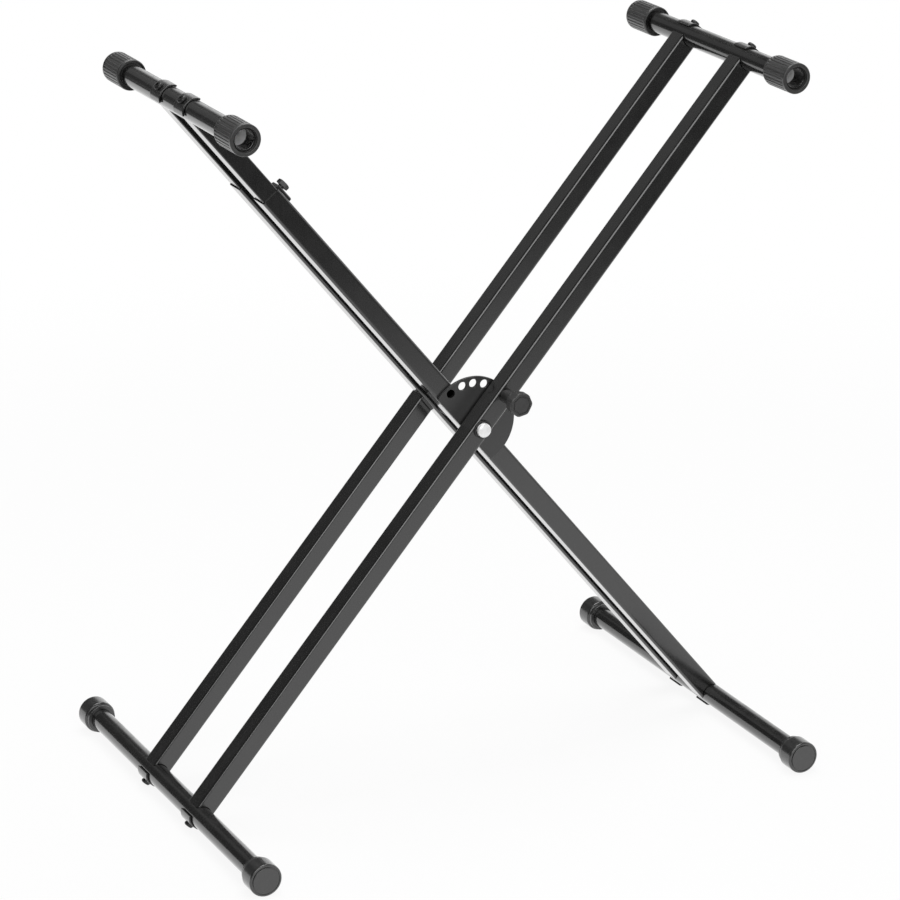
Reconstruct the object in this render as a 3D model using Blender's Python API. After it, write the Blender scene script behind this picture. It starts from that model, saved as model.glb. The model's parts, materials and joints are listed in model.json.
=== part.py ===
"""Folding keyboard stand: two pairs of crossed legs on one pivot, held open by a lock plate.

The outer frame is two rectangular legs, a foot bar and a top bar. The inner frame is two
rectangular sleeves with a foot bar, in which two upper arms with a top bar slide. The whole
stands on four foot caps, and a keyboard lies on four ribbed collars. Metres and degrees, +Z up,
X across the spread of the feet, Y along the bars, near side at -Y. The origin is on the floor
under the middle of the object's outline.
"""
import math
from collections import namedtuple

import bmesh
import bpy
from mathutils import Matrix

# Stance
SPREAD_DEG = 80.4
OUTER_REACH_DOWN = 0.476
OUTER_REACH_UP = 0.456
INNER_REACH_DOWN = 0.460
INNER_REACH_UP = 0.456

# Clearances
SEAT_GAP = 0.0003
SIDE_PLAY = 0.0005
HOLE_PLAY = 0.0003
SLIDE_PLAY = 0.0003

# Outer legs: width across the leg in the plane of the fold, depth along the bars
OUTER_LEG_WIDTH = 0.0205
OUTER_LEG_DEPTH = 0.0225
OUTER_LEG_WALL = 0.0015
OUTER_LEG_CORNER = 0.0025

# Inner legs, the sleeves that hold the upper arms
INNER_LEG_WIDTH = 0.0214
INNER_LEG_DEPTH = 0.0250
INNER_LEG_WALL = 0.0010
INNER_LEG_CORNER = 0.0025
INNER_LEG_SPACING = 0.0570
INNER_LEG_MOUTH = 0.337

# Upper arms
ARM_WALL = 0.0012
ARM_CORNER = 0.0012
ARM_INSERTED = 0.160

# Bars, and how far short of the bar's axis a leg is cut before its end is coped to the bar
BAR_RADIUS = 0.0110
BAR_WALL = 0.0015
TOP_BAR_SPAN = 0.312
FOOT_BAR_SPAN = 0.449
COPE_STANDOFF = 0.003

# Saddles, plugs and the bolts that draw a bar on to its leg
SADDLE_THICKNESS = 0.0020
SADDLE_LENGTH = 0.022
SADDLE_SPAN_DEG = 132.0
SADDLE_FLAT_DEPTH = 0.0006
BOLT_RADIUS = 0.0030
BOLT_GRIP = 0.016
BOLT_HEAD_RADIUS = 0.0048
BOLT_HEAD_RIM = 0.0011
BOLT_HEAD_HEIGHT = 0.0031
BOLT_SOCKET_RADIUS = 0.0020
BOLT_SOCKET_DEPTH = 0.0016
PLUG_LENGTH = 0.024
PLUG_CORNER = 0.0010

# Ribbed collars on the top bar
COLLAR_RADIUS = 0.0156
COLLAR_LENGTH = 0.039
COLLAR_NECK_RADIUS = 0.0150
COLLAR_NECK_LENGTH = 0.0012
COLLAR_NECK_SLOPE = 0.0006
COLLAR_LIP = 0.0030
COLLAR_MOUTH_RADIUS = 0.0118
COLLAR_EDGE = 0.0006
RIB_COUNT = 28
RIB_GROOVE_WIDTH = 0.0012
RIB_GROOVE_DEPTH = 0.0007
RIB_MARGIN = 0.0010

# Foot caps
FOOT_RADIUS = 0.0172
FOOT_LENGTH = 0.025
FOOT_END_WALL = 0.0040
FOOT_NECK_RADIUS = 0.0150
FOOT_NECK_LENGTH = 0.004
FOOT_SHOULDER = 0.0015
FOOT_ROUNDING = 0.0024

# Lock plate, a disc welded on the near inner leg
PLATE_RADIUS = 0.048
PLATE_THICKNESS = 0.003
LOCK_CIRCLE_RADIUS = 0.041
LOCK_HOLE_PLAY = 0.0005
CLOSED_ANGLE_DEG = 4.5
MIDDLE_ANGLES_DEG = (24.5, 41.5, 59.0)

# Pivot
PIVOT_RADIUS = 0.0050
SPACER_RADIUS = 0.0085
PIVOT_WASHER_RADIUS = 0.0095
PIVOT_WASHER_THICKNESS = 0.0012
PIVOT_CAP_RADIUS = 0.0072
PIVOT_CAP_DEPTH = 0.0030
PIVOT_CAP_CROWN = 0.0022

# Spring lock pin on the near outer leg
PIN_RADIUS = 0.0039
PIN_STEM_RADIUS = 0.0035
PIN_STROKE = 0.0060
PIN_POINT_CHAMFER = 0.0008
PIN_SHOULDER_RADIUS = 0.0054
PIN_SHOULDER_LENGTH = 0.0012
PIN_END_PLAY = 0.0006
PIN_IN_KNOB = 0.0067
SPRING_TURNS = 4
SPRING_PITCH = 0.00115
SPRING_RADIUS = 0.00485
SPRING_WIRE_RADIUS = 0.00035
SPRING_POINTS_PER_TURN = 10
HOUSING_RADIUS = 0.0072
HOUSING_END_WALL = 0.0013
HOUSING_BORE_PLAY = 0.0004
HOUSING_CHAMFER = 0.0006
KNOB_RADIUS = 0.0130
KNOB_THICKNESS = 0.0110
KNOB_LOBES = 7
KNOB_LOBE_DEPTH = 0.0016
KNOB_ROUNDING = 0.0016
KNOB_POINTS_PER_LOBE = 5

# Clamp boss and bolt that hold the near upper arm
BOSS_LENGTH = 0.020
BOSS_DEPTH = 0.014
BOSS_HEIGHT = 0.0035
BOSS_CHAMFER = 0.0015
CLAMP_BOLT_INSET = 0.006
CLAMP_BOLT_RADIUS = 0.0030
CLAMP_BOLT_STANDOUT = 0.0100
CLAMP_HEAD_THICKNESS = 0.0045
CLAMP_HEAD_ACROSS_FLATS = 0.0115
CLAMP_HEAD_CHAMFER = 0.0008

# Fineness of round shapes
CORNER_STEPS = 2
ROUND_STEPS = 3
BAR_SIDES = 20
SADDLE_STEPS = 8
PIVOT_SIDES = 16
PIN_SIDES = 14
BOLT_SIDES = 12
PLATE_SIDES = 40
MERGE_DISTANCE = 0.000001
SHARP_ANGLE = math.radians(32)

# Finishes: colour, roughness, metallic
FINISHES = {
    "leg_powder_coat": ((0.030, 0.030, 0.032), 0.38, 0.0),
    "bar_powder_coat": ((0.018, 0.018, 0.019), 0.26, 0.0),
    "saddle_powder_coat": ((0.028, 0.028, 0.029), 0.40, 0.0),
    "lock_plate_black": ((0.012, 0.012, 0.013), 0.42, 0.0),
    "ribbed_rubber": ((0.040, 0.040, 0.041), 0.62, 0.0),
    "foot_rubber": ((0.060, 0.060, 0.061), 0.55, 0.0),
    "black_bolt_steel": ((0.045, 0.045, 0.048), 0.35, 0.8),
    "bright_zinc": ((0.78, 0.78, 0.80), 0.22, 1.0),
    "pin_steel": ((0.55, 0.55, 0.57), 0.28, 1.0),
    "spring_steel": ((0.45, 0.45, 0.47), 0.30, 1.0),
    "knob_plastic": ((0.035, 0.035, 0.036), 0.48, 0.0),
    "plug_nylon": ((0.050, 0.050, 0.052), 0.55, 0.0),
    "spacer_nylon": ((0.020, 0.020, 0.021), 0.50, 0.0),
}

# Derived places: y of the leg centre lines, counted outwards from the middle plane
INNER_LEG_Y = INNER_LEG_SPACING / 2
INNER_LEG_FACE = INNER_LEG_Y + INNER_LEG_DEPTH / 2
PLATE_FACE = INNER_LEG_FACE + SEAT_GAP + PLATE_THICKNESS
OUTER_LEG_BACK = PLATE_FACE + SIDE_PLAY
OUTER_LEG_Y = OUTER_LEG_BACK + OUTER_LEG_DEPTH / 2
OUTER_LEG_FACE = OUTER_LEG_BACK + OUTER_LEG_DEPTH

# The feet of both frames stand level, which gives each frame its tilt
SPREAD = math.radians(SPREAD_DEG)
OUTER_TILT = math.atan2(
    OUTER_REACH_DOWN - INNER_REACH_DOWN * math.cos(SPREAD),
    INNER_REACH_DOWN * math.sin(SPREAD),
)
INNER_TILT = SPREAD - OUTER_TILT
FOOT_FLAT = FOOT_RADIUS * math.cos(math.pi / BAR_SIDES)
COLLAR_FLAT = COLLAR_RADIUS * math.cos(math.pi / RIB_COUNT)
REACH_LEFT = max(
    OUTER_REACH_DOWN * math.sin(OUTER_TILT) + FOOT_FLAT,
    INNER_REACH_UP * math.sin(INNER_TILT) + COLLAR_FLAT,
)
REACH_RIGHT = max(
    INNER_REACH_DOWN * math.sin(INNER_TILT) + FOOT_FLAT,
    OUTER_REACH_UP * math.sin(OUTER_TILT) + COLLAR_FLAT,
)
PIVOT_X = (REACH_LEFT - REACH_RIGHT) / 2
PIVOT_Z = OUTER_REACH_DOWN * math.cos(OUTER_TILT) + FOOT_FLAT

# Outer faces of a saddle, from the bar's axis
SADDLE_OUTSIDE = BAR_RADIUS + SEAT_GAP + SADDLE_THICKNESS
SADDLE_CREST = SADDLE_OUTSIDE - SADDLE_FLAT_DEPTH

# Lock plate holes, from the inner legs' direction towards the outer legs'
LOCK_ANGLES_DEG = (CLOSED_ANGLE_DEG, *MIDDLE_ANGLES_DEG, SPREAD_DEG)
LOCK_HOLE_RADIUS = PIN_RADIUS + LOCK_HOLE_PLAY
PIN_HOLE_RADIUS = PIN_RADIUS + HOLE_PLAY

# Lock pin stations, counted outwards from the outer leg's near face, with the pin drawn out
SHOULDER_START = PIN_STROKE + PIN_END_PLAY
SHOULDER_END = SHOULDER_START + PIN_SHOULDER_LENGTH
SPRING_START = SHOULDER_END + SEAT_GAP
SPRING_LENGTH = SPRING_TURNS * SPRING_PITCH + 2 * SPRING_WIRE_RADIUS
HOUSING_FLOOR = SPRING_START + SPRING_LENGTH + SEAT_GAP
HOUSING_END = HOUSING_FLOOR + HOUSING_END_WALL
KNOB_BACK = HOUSING_END + SIDE_PLAY + PIN_STROKE
PIN_TIP = -OUTER_LEG_DEPTH

ALONG_Y = Matrix.Rotation(-math.pi / 2, 4, "X")
ALONG_X = Matrix.Rotation(math.pi / 2, 4, "Y")
TOWARDS_NEAR = Matrix.Rotation(math.pi / 2, 4, "X")
CUTTER_REACH = 1.0


Clip = namedtuple("Clip", "saddle bolt")
BarEnd = namedtuple("BarEnd", "mesh half_span length end_wall finish_name")


def clear_scene():
    for item in list(bpy.data.objects):
        bpy.data.objects.remove(item)


def finish(name):
    """A material of the named finish, made once."""
    if name in bpy.data.materials:
        return bpy.data.materials[name]
    colour, roughness, metallic = FINISHES[name]
    material = bpy.data.materials.new(name)
    material.use_nodes = True
    shader = material.node_tree.nodes["Principled BSDF"]
    shader.inputs["Base Color"].default_value = (*colour, 1.0)
    shader.inputs["Roughness"].default_value = roughness
    shader.inputs["Metallic"].default_value = metallic
    material.diffuse_color = (*colour, 1.0)
    return material


def to_mesh(bm, name, turn=None):
    """A mesh of the bmesh, turned if asked, with its faces pointing out."""
    bmesh.ops.remove_doubles(bm, verts=bm.verts, dist=MERGE_DISTANCE)
    if turn is not None:
        bm.transform(turn)
    bmesh.ops.recalc_face_normals(bm, faces=bm.faces)
    mesh = bpy.data.meshes.new(name)
    bm.to_mesh(mesh)
    bm.free()
    return mesh


def turned(name, profile, sides, ring=False, turn=None):
    """Spin points of (radius, height) round Z; a ring's profile closes on itself."""
    bm = bmesh.new()
    points = [bm.verts.new((radius, 0.0, height)) for radius, height in profile]
    edges = [bm.edges.new(pair) for pair in zip(points, points[1:])]
    if ring:
        edges.append(bm.edges.new((points[-1], points[0])))
    half_side = Matrix.Rotation(math.pi / sides, 3, "Z")
    bmesh.ops.rotate(bm, verts=points, matrix=half_side)
    bmesh.ops.spin(
        bm, geom=points + edges, axis=(0, 0, 1), angle=2 * math.pi, steps=sides, use_merge=True
    )
    return to_mesh(bm, name, turn)


def rod(name, radius, low, high, sides, turn=None):
    return turned(name, [(0.0, low), (radius, low), (radius, high), (0.0, high)], sides, turn=turn)


def pipe(name, outer, inner, low, high, sides, turn=None):
    profile = [(outer, low), (outer, high), (inner, high), (inner, low)]
    return turned(name, profile, sides, ring=True, turn=turn)


def arc(centre_radius, centre_height, radius, start_deg, end_deg):
    """Points of a rounding in a turned profile."""
    points = []
    for step in range(ROUND_STEPS + 1):
        angle = math.radians(start_deg + (end_deg - start_deg) * step / ROUND_STEPS)
        points.append(
            (centre_radius + radius * math.cos(angle), centre_height + radius * math.sin(angle))
        )
    return points


def rounded_outline(bm, width, depth, corner, height):
    """The edges of a rectangle with rounded corners, level at the height given."""
    half_width = width / 2
    half_depth = depth / 2
    corners = [
        bm.verts.new((half_width * side_x, half_depth * side_y, height))
        for side_x, side_y in ((1, 1), (-1, 1), (-1, -1), (1, -1))
    ]
    bm.faces.new(corners)
    bevelled = bmesh.ops.bevel(
        bm,
        geom=corners,
        offset=corner,
        offset_type="OFFSET",
        segments=CORNER_STEPS,
        profile=0.5,
        affect="VERTICES",
    )
    points = set(bevelled["verts"])
    face = next(face for face in bm.faces if points.issuperset(face.verts))
    edges = list(face.edges)
    bmesh.ops.delete(bm, geom=[face], context="FACES_ONLY")
    return edges


def box_tube(name, width, depth, wall, corner, low, high):
    """A rectangular tube along Z with rounded corners."""
    bm = bmesh.new()
    outside = rounded_outline(bm, width, depth, corner, low)
    inner_corner = max(corner - wall, wall / 4)
    inside = rounded_outline(bm, width - 2 * wall, depth - 2 * wall, inner_corner, low)
    ring = bmesh.ops.bridge_loops(bm, edges=outside + inside)["faces"]
    extrude(bm, ring, high - low)
    return to_mesh(bm, name)


def box_bar(name, width, depth, corner, low, high):
    """A solid rectangular bar along Z with rounded corners."""
    bm = bmesh.new()
    outline = rounded_outline(bm, width, depth, corner, low)
    end = bmesh.ops.contextual_create(bm, geom=outline)["faces"]
    extrude(bm, end, high - low)
    return to_mesh(bm, name)


def add_block(bm, size_x, size_y, size_z):
    """The corners of a rectangular block round the origin."""
    corners = bmesh.ops.create_cube(bm, size=1.0)["verts"]
    bmesh.ops.scale(bm, verts=corners, vec=(size_x, size_y, size_z))
    return corners


def extrude(bm, faces, height):
    moved = bmesh.ops.extrude_face_region(bm, geom=faces, use_keep_orig=True)["geom"]
    top = [item for item in moved if isinstance(item, bmesh.types.BMVert)]
    bmesh.ops.translate(bm, verts=top, vec=(0, 0, height))


def combined(name, base, tools, operation):
    """A new mesh: the base with each (mesh, place) tool cut away, added or kept in common."""
    body = bpy.data.objects.new(name, base)
    bpy.context.scene.collection.objects.link(body)
    helpers = []
    for mesh, place in tools:
        helper = bpy.data.objects.new(name, mesh)
        helper.matrix_world = place
        helper.hide_render = True
        helper.display_type = "WIRE"
        bpy.context.scene.collection.objects.link(helper)
        helpers.append(helper)
        cut = body.modifiers.new(operation, "BOOLEAN")
        cut.operation = operation
        cut.solver = "EXACT"
        cut.object = helper
    shaped = body.evaluated_get(bpy.context.evaluated_depsgraph_get())
    result = bpy.data.meshes.new_from_object(shaped)
    result.name = name
    for item in [body, *helpers]:
        bpy.data.objects.remove(item)
    return result


def cut(name, base, *tools):
    return combined(name, base, tools, "DIFFERENCE")


def at(x=0.0, y=0.0, z=0.0):
    return Matrix.Translation((x, y, z))


def hole(radius, direction, sides, x=0.0, y=0.0, z=0.0, length=CUTTER_REACH):
    """A cutter for a round hole that runs the length given to each side of its middle."""
    return rod("hole", radius, -length, length, sides, direction), at(x, y, z)


def frame_axes(name, parent, location, tilt):
    """An empty that carries the pieces of one frame or one moving part."""
    empty = bpy.data.objects.new(name, None)
    empty.location = location
    empty.rotation_euler = (0.0, tilt, 0.0)
    empty.parent = parent
    bpy.context.scene.collection.objects.link(empty)
    return empty


def piece(name, mesh, finish_name, parent, location=(0.0, 0.0, 0.0), rotation=(0.0, 0.0, 0.0)):
    """One named piece of the stand, placed on the frame that carries it."""
    if not mesh.materials:
        mesh.shade_smooth()
        mesh.set_sharp_from_angle(angle=SHARP_ANGLE)
        mesh.materials.append(finish(finish_name))
    item = bpy.data.objects.new(name, mesh)
    item.location = location
    item.rotation_euler = rotation
    item.parent = parent
    bpy.context.scene.collection.objects.link(item)
    return item


def both_sides(name, mesh, finish_name, parent, y, z, rotation=(0.0, 0.0, 0.0)):
    """A piece on the far side and its like on the near side."""
    piece(name + "_far", mesh, finish_name, parent, (0, y, z), rotation)
    piece(name + "_near", mesh, finish_name, parent, (0, -y, z), rotation)


def both_ends(name, mesh, finish_name, parent, y, z, tilt):
    """A piece on each end of a bar, turned about the bar so that a flat side lies level."""
    piece(name + "_far", mesh, finish_name, parent, (0, y, z), (0, -tilt, 0))
    piece(name + "_near", mesh, finish_name, parent, (0, -y, z), (0, tilt, math.pi))


def bar_mesh(name, half_length, leg_y):
    """A round bar along Y, drilled through for the bolt at each leg."""
    tube = pipe(name, BAR_RADIUS, BAR_RADIUS - BAR_WALL, -half_length, half_length, BAR_SIDES, ALONG_Y)
    bolt_hole = BOLT_RADIUS + HOLE_PLAY
    holes = [hole(bolt_hole, None, BOLT_SIDES, y=side * leg_y) for side in (1, -1)]
    return cut(name, tube, *holes)


def bar_cope(z):
    """The cutter that shapes a leg's end to the bar at height z."""
    return hole(BAR_RADIUS + SEAT_GAP, ALONG_Y, BAR_SIDES, z=z)


def saddle_mesh():
    """A curved clip over the bar, flat on its crest under the bolt head."""
    inner = BAR_RADIUS + SEAT_GAP
    outer = SADDLE_OUTSIDE
    half_span = math.radians(SADDLE_SPAN_DEG) / 2
    angles = [half_span * (2 * step / SADDLE_STEPS - 1) for step in range(SADDLE_STEPS + 1)]
    over = [(outer * math.sin(angle), min(outer * math.cos(angle), SADDLE_CREST)) for angle in angles]
    under = [(inner * math.sin(angle), inner * math.cos(angle)) for angle in reversed(angles)]
    bm = bmesh.new()
    outline = bm.faces.new([bm.verts.new((x, z, 0.0)) for x, z in over + under])
    extrude(bm, [outline], SADDLE_LENGTH)
    # Turn the outline from the XY plane into XZ, centred along the bar
    stand_up = at(y=SADDLE_LENGTH / 2) @ Matrix.Rotation(math.pi / 2, 4, "X")
    clip = to_mesh(bm, "saddle", stand_up)
    return cut("saddle", clip, hole(BOLT_RADIUS + HOLE_PLAY, None, BOLT_SIDES))


def bolt_mesh():
    """A button head bolt; its origin is on the bar's axis and its head points outwards."""
    seat = SADDLE_CREST + SEAT_GAP
    tip = -(BAR_RADIUS + BOLT_GRIP)
    top = seat + BOLT_HEAD_HEIGHT
    flat_radius = BOLT_HEAD_RADIUS / 2
    profile = [
        (0.0, tip),
        (BOLT_RADIUS, tip),
        (BOLT_RADIUS, seat),
        (BOLT_HEAD_RADIUS, seat),
        (BOLT_HEAD_RADIUS, seat + BOLT_HEAD_RIM),
        (BOLT_HEAD_RADIUS * 0.84, seat + BOLT_HEAD_RIM + (BOLT_HEAD_HEIGHT - BOLT_HEAD_RIM) * 0.62),
        (flat_radius, top),
        (0.0, top),
    ]
    blank = turned("bolt", profile, BOLT_SIDES)
    socket = rod("socket", BOLT_SOCKET_RADIUS, -BOLT_SOCKET_DEPTH, BOLT_SOCKET_DEPTH, 6)
    return cut("bolt", blank, (socket, at(z=top)))


def plug_mesh(name, width, depth):
    """A nylon plug in a leg's end; its origin is on the bar's axis, its body below it."""
    low = -(COPE_STANDOFF + PLUG_LENGTH)
    body = box_bar(name, width - 2 * SEAT_GAP, depth - 2 * SEAT_GAP, PLUG_CORNER, low, -COPE_STANDOFF)
    return cut(name, body, bar_cope(0.0), hole(BOLT_RADIUS + HOLE_PLAY, None, BOLT_SIDES))


def collar_mesh():
    """A ribbed sleeve along Y, its open lip past the bar's end; origin at the inner end."""
    bore = BAR_RADIUS + SEAT_GAP
    lip = COLLAR_LENGTH - COLLAR_LIP
    slope_end = COLLAR_NECK_LENGTH + COLLAR_NECK_SLOPE
    profile = [
        (bore, 0.0),
        (COLLAR_NECK_RADIUS - COLLAR_EDGE, 0.0),
        (COLLAR_NECK_RADIUS, COLLAR_EDGE),
        (COLLAR_NECK_RADIUS, COLLAR_NECK_LENGTH),
        (COLLAR_RADIUS, slope_end),
        (COLLAR_RADIUS, COLLAR_LENGTH - COLLAR_EDGE),
        (COLLAR_RADIUS - COLLAR_EDGE, COLLAR_LENGTH),
        (COLLAR_MOUTH_RADIUS, COLLAR_LENGTH),
        (COLLAR_MOUTH_RADIUS, lip),
        (bore, lip),
    ]
    sleeve = turned("collar", profile, RIB_COUNT, ring=True)
    low = slope_end + RIB_MARGIN
    high = lip
    grooves = bmesh.new()
    for rib in range(RIB_COUNT):
        angle = (rib + 0.5) * 2 * math.pi / RIB_COUNT
        groove = add_block(grooves, 2 * RIB_GROOVE_DEPTH, RIB_GROOVE_WIDTH, high - low)
        bmesh.ops.translate(grooves, verts=groove, vec=(COLLAR_RADIUS, 0.0, (low + high) / 2))
        bmesh.ops.rotate(grooves, verts=groove, matrix=Matrix.Rotation(angle, 3, "Z"))
    cutter = to_mesh(grooves, "grooves")
    ribbed = cut("collar", sleeve, (cutter, Matrix()))
    ribbed.transform(ALONG_Y)
    return ribbed


def foot_cap_mesh():
    """A closed cap along Y over the foot bar's end; origin at the open inner end."""
    bore = BAR_RADIUS + SEAT_GAP
    shoulder = FOOT_RADIUS - FOOT_SHOULDER
    floor = FOOT_LENGTH - FOOT_END_WALL
    profile = [
        (0.0, floor),
        (bore, floor),
        (bore, 0.0),
        (FOOT_NECK_RADIUS, 0.0),
        (FOOT_NECK_RADIUS, FOOT_NECK_LENGTH),
        (shoulder, FOOT_NECK_LENGTH),
        (FOOT_RADIUS, FOOT_NECK_LENGTH + FOOT_SHOULDER),
        *arc(FOOT_RADIUS - FOOT_ROUNDING, FOOT_LENGTH - FOOT_ROUNDING, FOOT_ROUNDING, 0, 90),
        (0.0, FOOT_LENGTH),
    ]
    return turned("foot_cap", profile, BAR_SIDES, turn=ALONG_Y)


def bar_set(label, end_label, frame, tilt, leg_y, z, end, plug, clip):
    """A bar with its end fittings, and the saddle, bolt and plug at each leg."""
    half_bar = end.half_span - end.end_wall - SEAT_GAP
    bar = bar_mesh(label + "_bar", half_bar, leg_y)
    piece(label + "_bar", bar, "bar_powder_coat", frame, (0, 0, z))
    both_ends(end_label, end.mesh, end.finish_name, frame, end.half_span - end.length, z, tilt)
    # Below the pivot the saddles and bolts point down
    rotation = (0.0, 0.0 if z > 0 else math.pi, 0.0)
    both_sides(label + "_saddle", clip.saddle, "saddle_powder_coat", frame, leg_y, z, rotation)
    both_sides(label + "_bolt", clip.bolt, "black_bolt_steel", frame, leg_y, z, rotation)
    both_sides(label + "_plug", plug, "plug_nylon", frame, leg_y, z, rotation)


def pivot_hole():
    return hole(PIVOT_RADIUS + HOLE_PLAY, ALONG_Y, PIVOT_SIDES)


def build_outer_legs(frame):
    """Two long tubes, coped to their bars, and their plug; the near one has the pin's holes."""
    low = COPE_STANDOFF - OUTER_REACH_DOWN
    high = OUTER_REACH_UP - COPE_STANDOFF
    tube = box_tube(
        "outer_leg", OUTER_LEG_WIDTH, OUTER_LEG_DEPTH, OUTER_LEG_WALL, OUTER_LEG_CORNER, low, high
    )
    ends = [bar_cope(OUTER_REACH_UP), bar_cope(-OUTER_REACH_DOWN)]
    far = cut("outer_leg_far", tube, *ends, pivot_hole())
    pin_hole = hole(PIN_HOLE_RADIUS, ALONG_Y, PIN_SIDES, z=LOCK_CIRCLE_RADIUS)
    near = cut("outer_leg_near", far, pin_hole)
    piece("outer_leg_far", far, "leg_powder_coat", frame, (0, OUTER_LEG_Y, 0))
    piece("outer_leg_near", near, "leg_powder_coat", frame, (0, -OUTER_LEG_Y, 0))
    inside = (OUTER_LEG_WIDTH - 2 * OUTER_LEG_WALL, OUTER_LEG_DEPTH - 2 * OUTER_LEG_WALL)
    return plug_mesh("outer_plug", *inside)


def build_inner_legs(frame):
    """Two sleeves and their plug; the near one has the clamp's and the closed lock hole."""
    low = COPE_STANDOFF - INNER_REACH_DOWN
    tube = box_tube(
        "inner_leg",
        INNER_LEG_WIDTH,
        INNER_LEG_DEPTH,
        INNER_LEG_WALL,
        INNER_LEG_CORNER,
        low,
        INNER_LEG_MOUTH,
    )
    far = cut("inner_leg_far", tube, bar_cope(-INNER_REACH_DOWN), pivot_hole())
    clamp_hole = hole(
        CLAMP_BOLT_RADIUS + HOLE_PLAY,
        ALONG_X,
        BOLT_SIDES,
        x=INNER_LEG_WIDTH / 2,
        z=INNER_LEG_MOUTH - CLAMP_BOLT_INSET,
        length=INNER_LEG_WIDTH / 2,
    )
    closed = math.radians(CLOSED_ANGLE_DEG)
    closed_hole = hole(
        LOCK_HOLE_RADIUS,
        ALONG_Y,
        PIN_SIDES,
        x=LOCK_CIRCLE_RADIUS * math.sin(closed),
        y=-INNER_LEG_DEPTH / 2,
        z=LOCK_CIRCLE_RADIUS * math.cos(closed),
        length=INNER_LEG_DEPTH / 2,
    )
    near = cut("inner_leg_near", far, clamp_hole, closed_hole)
    piece("inner_leg_far", far, "leg_powder_coat", frame, (0, INNER_LEG_Y, 0))
    piece("inner_leg_near", near, "leg_powder_coat", frame, (0, -INNER_LEG_Y, 0))
    inside = (INNER_LEG_WIDTH - 2 * INNER_LEG_WALL, INNER_LEG_DEPTH - 2 * INNER_LEG_WALL)
    return plug_mesh("inner_plug", *inside)


def build_upper_arms(arms):
    """Two arms that slide in the sleeves, coped to the inner top bar, and their plug."""
    width = INNER_LEG_WIDTH - 2 * (INNER_LEG_WALL + SLIDE_PLAY)
    depth = INNER_LEG_DEPTH - 2 * (INNER_LEG_WALL + SLIDE_PLAY)
    low = INNER_LEG_MOUTH - ARM_INSERTED
    high = INNER_REACH_UP - COPE_STANDOFF
    tube = box_tube("upper_arm", width, depth, ARM_WALL, ARM_CORNER, low, high)
    arm = cut("upper_arm", tube, bar_cope(INNER_REACH_UP))
    both_sides("upper_arm", arm, "leg_powder_coat", arms, INNER_LEG_Y, 0)
    return plug_mesh("arm_plug", width - 2 * ARM_WALL, depth - 2 * ARM_WALL)


def build_lock_plate(frame):
    """A disc with a circle of lock holes, cut straight along the leg's lower edge."""
    disc = rod("lock_plate", PLATE_RADIUS, 0, PLATE_THICKNESS, PLATE_SIDES, ALONG_Y)
    bm = bmesh.new()
    add_block(bm, CUTTER_REACH, CUTTER_REACH, CUTTER_REACH)
    edge = to_mesh(bm, "edge")
    holes = []
    for angle_deg in LOCK_ANGLES_DEG:
        angle = math.radians(angle_deg)
        x = LOCK_CIRCLE_RADIUS * math.sin(angle)
        z = LOCK_CIRCLE_RADIUS * math.cos(angle)
        holes.append(hole(LOCK_HOLE_RADIUS, ALONG_Y, PIN_SIDES, x=x, z=z))
    beyond_leg = (edge, at(x=-(INNER_LEG_WIDTH + CUTTER_REACH) / 2))
    plate = cut("lock_plate", disc, beyond_leg, pivot_hole(), *holes)
    piece("lock_plate", plate, "lock_plate_black", frame, (0, -PLATE_FACE, 0))


def build_pivot(frame):
    """The shaft through all four legs, its spacers, washers and push caps."""
    bore = PIVOT_RADIUS + HOLE_PLAY
    washer_seat = OUTER_LEG_FACE + SEAT_GAP
    cap_seat = washer_seat + PIVOT_WASHER_THICKNESS + SEAT_GAP
    shaft_half = cap_seat + PIVOT_CAP_DEPTH - SEAT_GAP
    shaft = rod("pivot_shaft", PIVOT_RADIUS, -shaft_half, shaft_half, PIVOT_SIDES, ALONG_Y)
    piece("pivot_shaft", shaft, "pin_steel", frame)
    inner_face = INNER_LEG_Y - INNER_LEG_DEPTH / 2 - SEAT_GAP
    middle = pipe("spacer", SPACER_RADIUS, bore, -inner_face, inner_face, PIVOT_SIDES, ALONG_Y)
    piece("pivot_spacer_mid", middle, "spacer_nylon", frame)
    ring = pipe("ring", SPACER_RADIUS, bore, 0, PLATE_THICKNESS, PIVOT_SIDES, ALONG_Y)
    piece("pivot_spacer_far", ring, "spacer_nylon", frame, (0, INNER_LEG_FACE + SEAT_GAP, 0))
    washer = pipe(
        "washer", PIVOT_WASHER_RADIUS, bore, 0, PIVOT_WASHER_THICKNESS, PIVOT_SIDES, ALONG_Y
    )
    both_ends("pivot_washer", washer, "black_bolt_steel", frame, washer_seat, 0, 0)
    rim = PIVOT_CAP_DEPTH + SEAT_GAP
    crown = [
        (PIVOT_CAP_RADIUS * math.cos(angle), rim + PIVOT_CAP_CROWN * math.sin(angle))
        for angle in (math.pi / 2 * step / ROUND_STEPS for step in range(ROUND_STEPS))
    ]
    profile = [
        (0.0, PIVOT_CAP_DEPTH),
        (bore, PIVOT_CAP_DEPTH),
        (bore, 0.0),
        (PIVOT_CAP_RADIUS, 0.0),
        *crown,
        (0.0, rim + PIVOT_CAP_CROWN),
    ]
    cap = turned("pivot_cap", profile, PIVOT_SIDES, turn=ALONG_Y)
    both_ends("pivot_cap", cap, "bright_zinc", frame, cap_seat, 0, 0)


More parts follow.
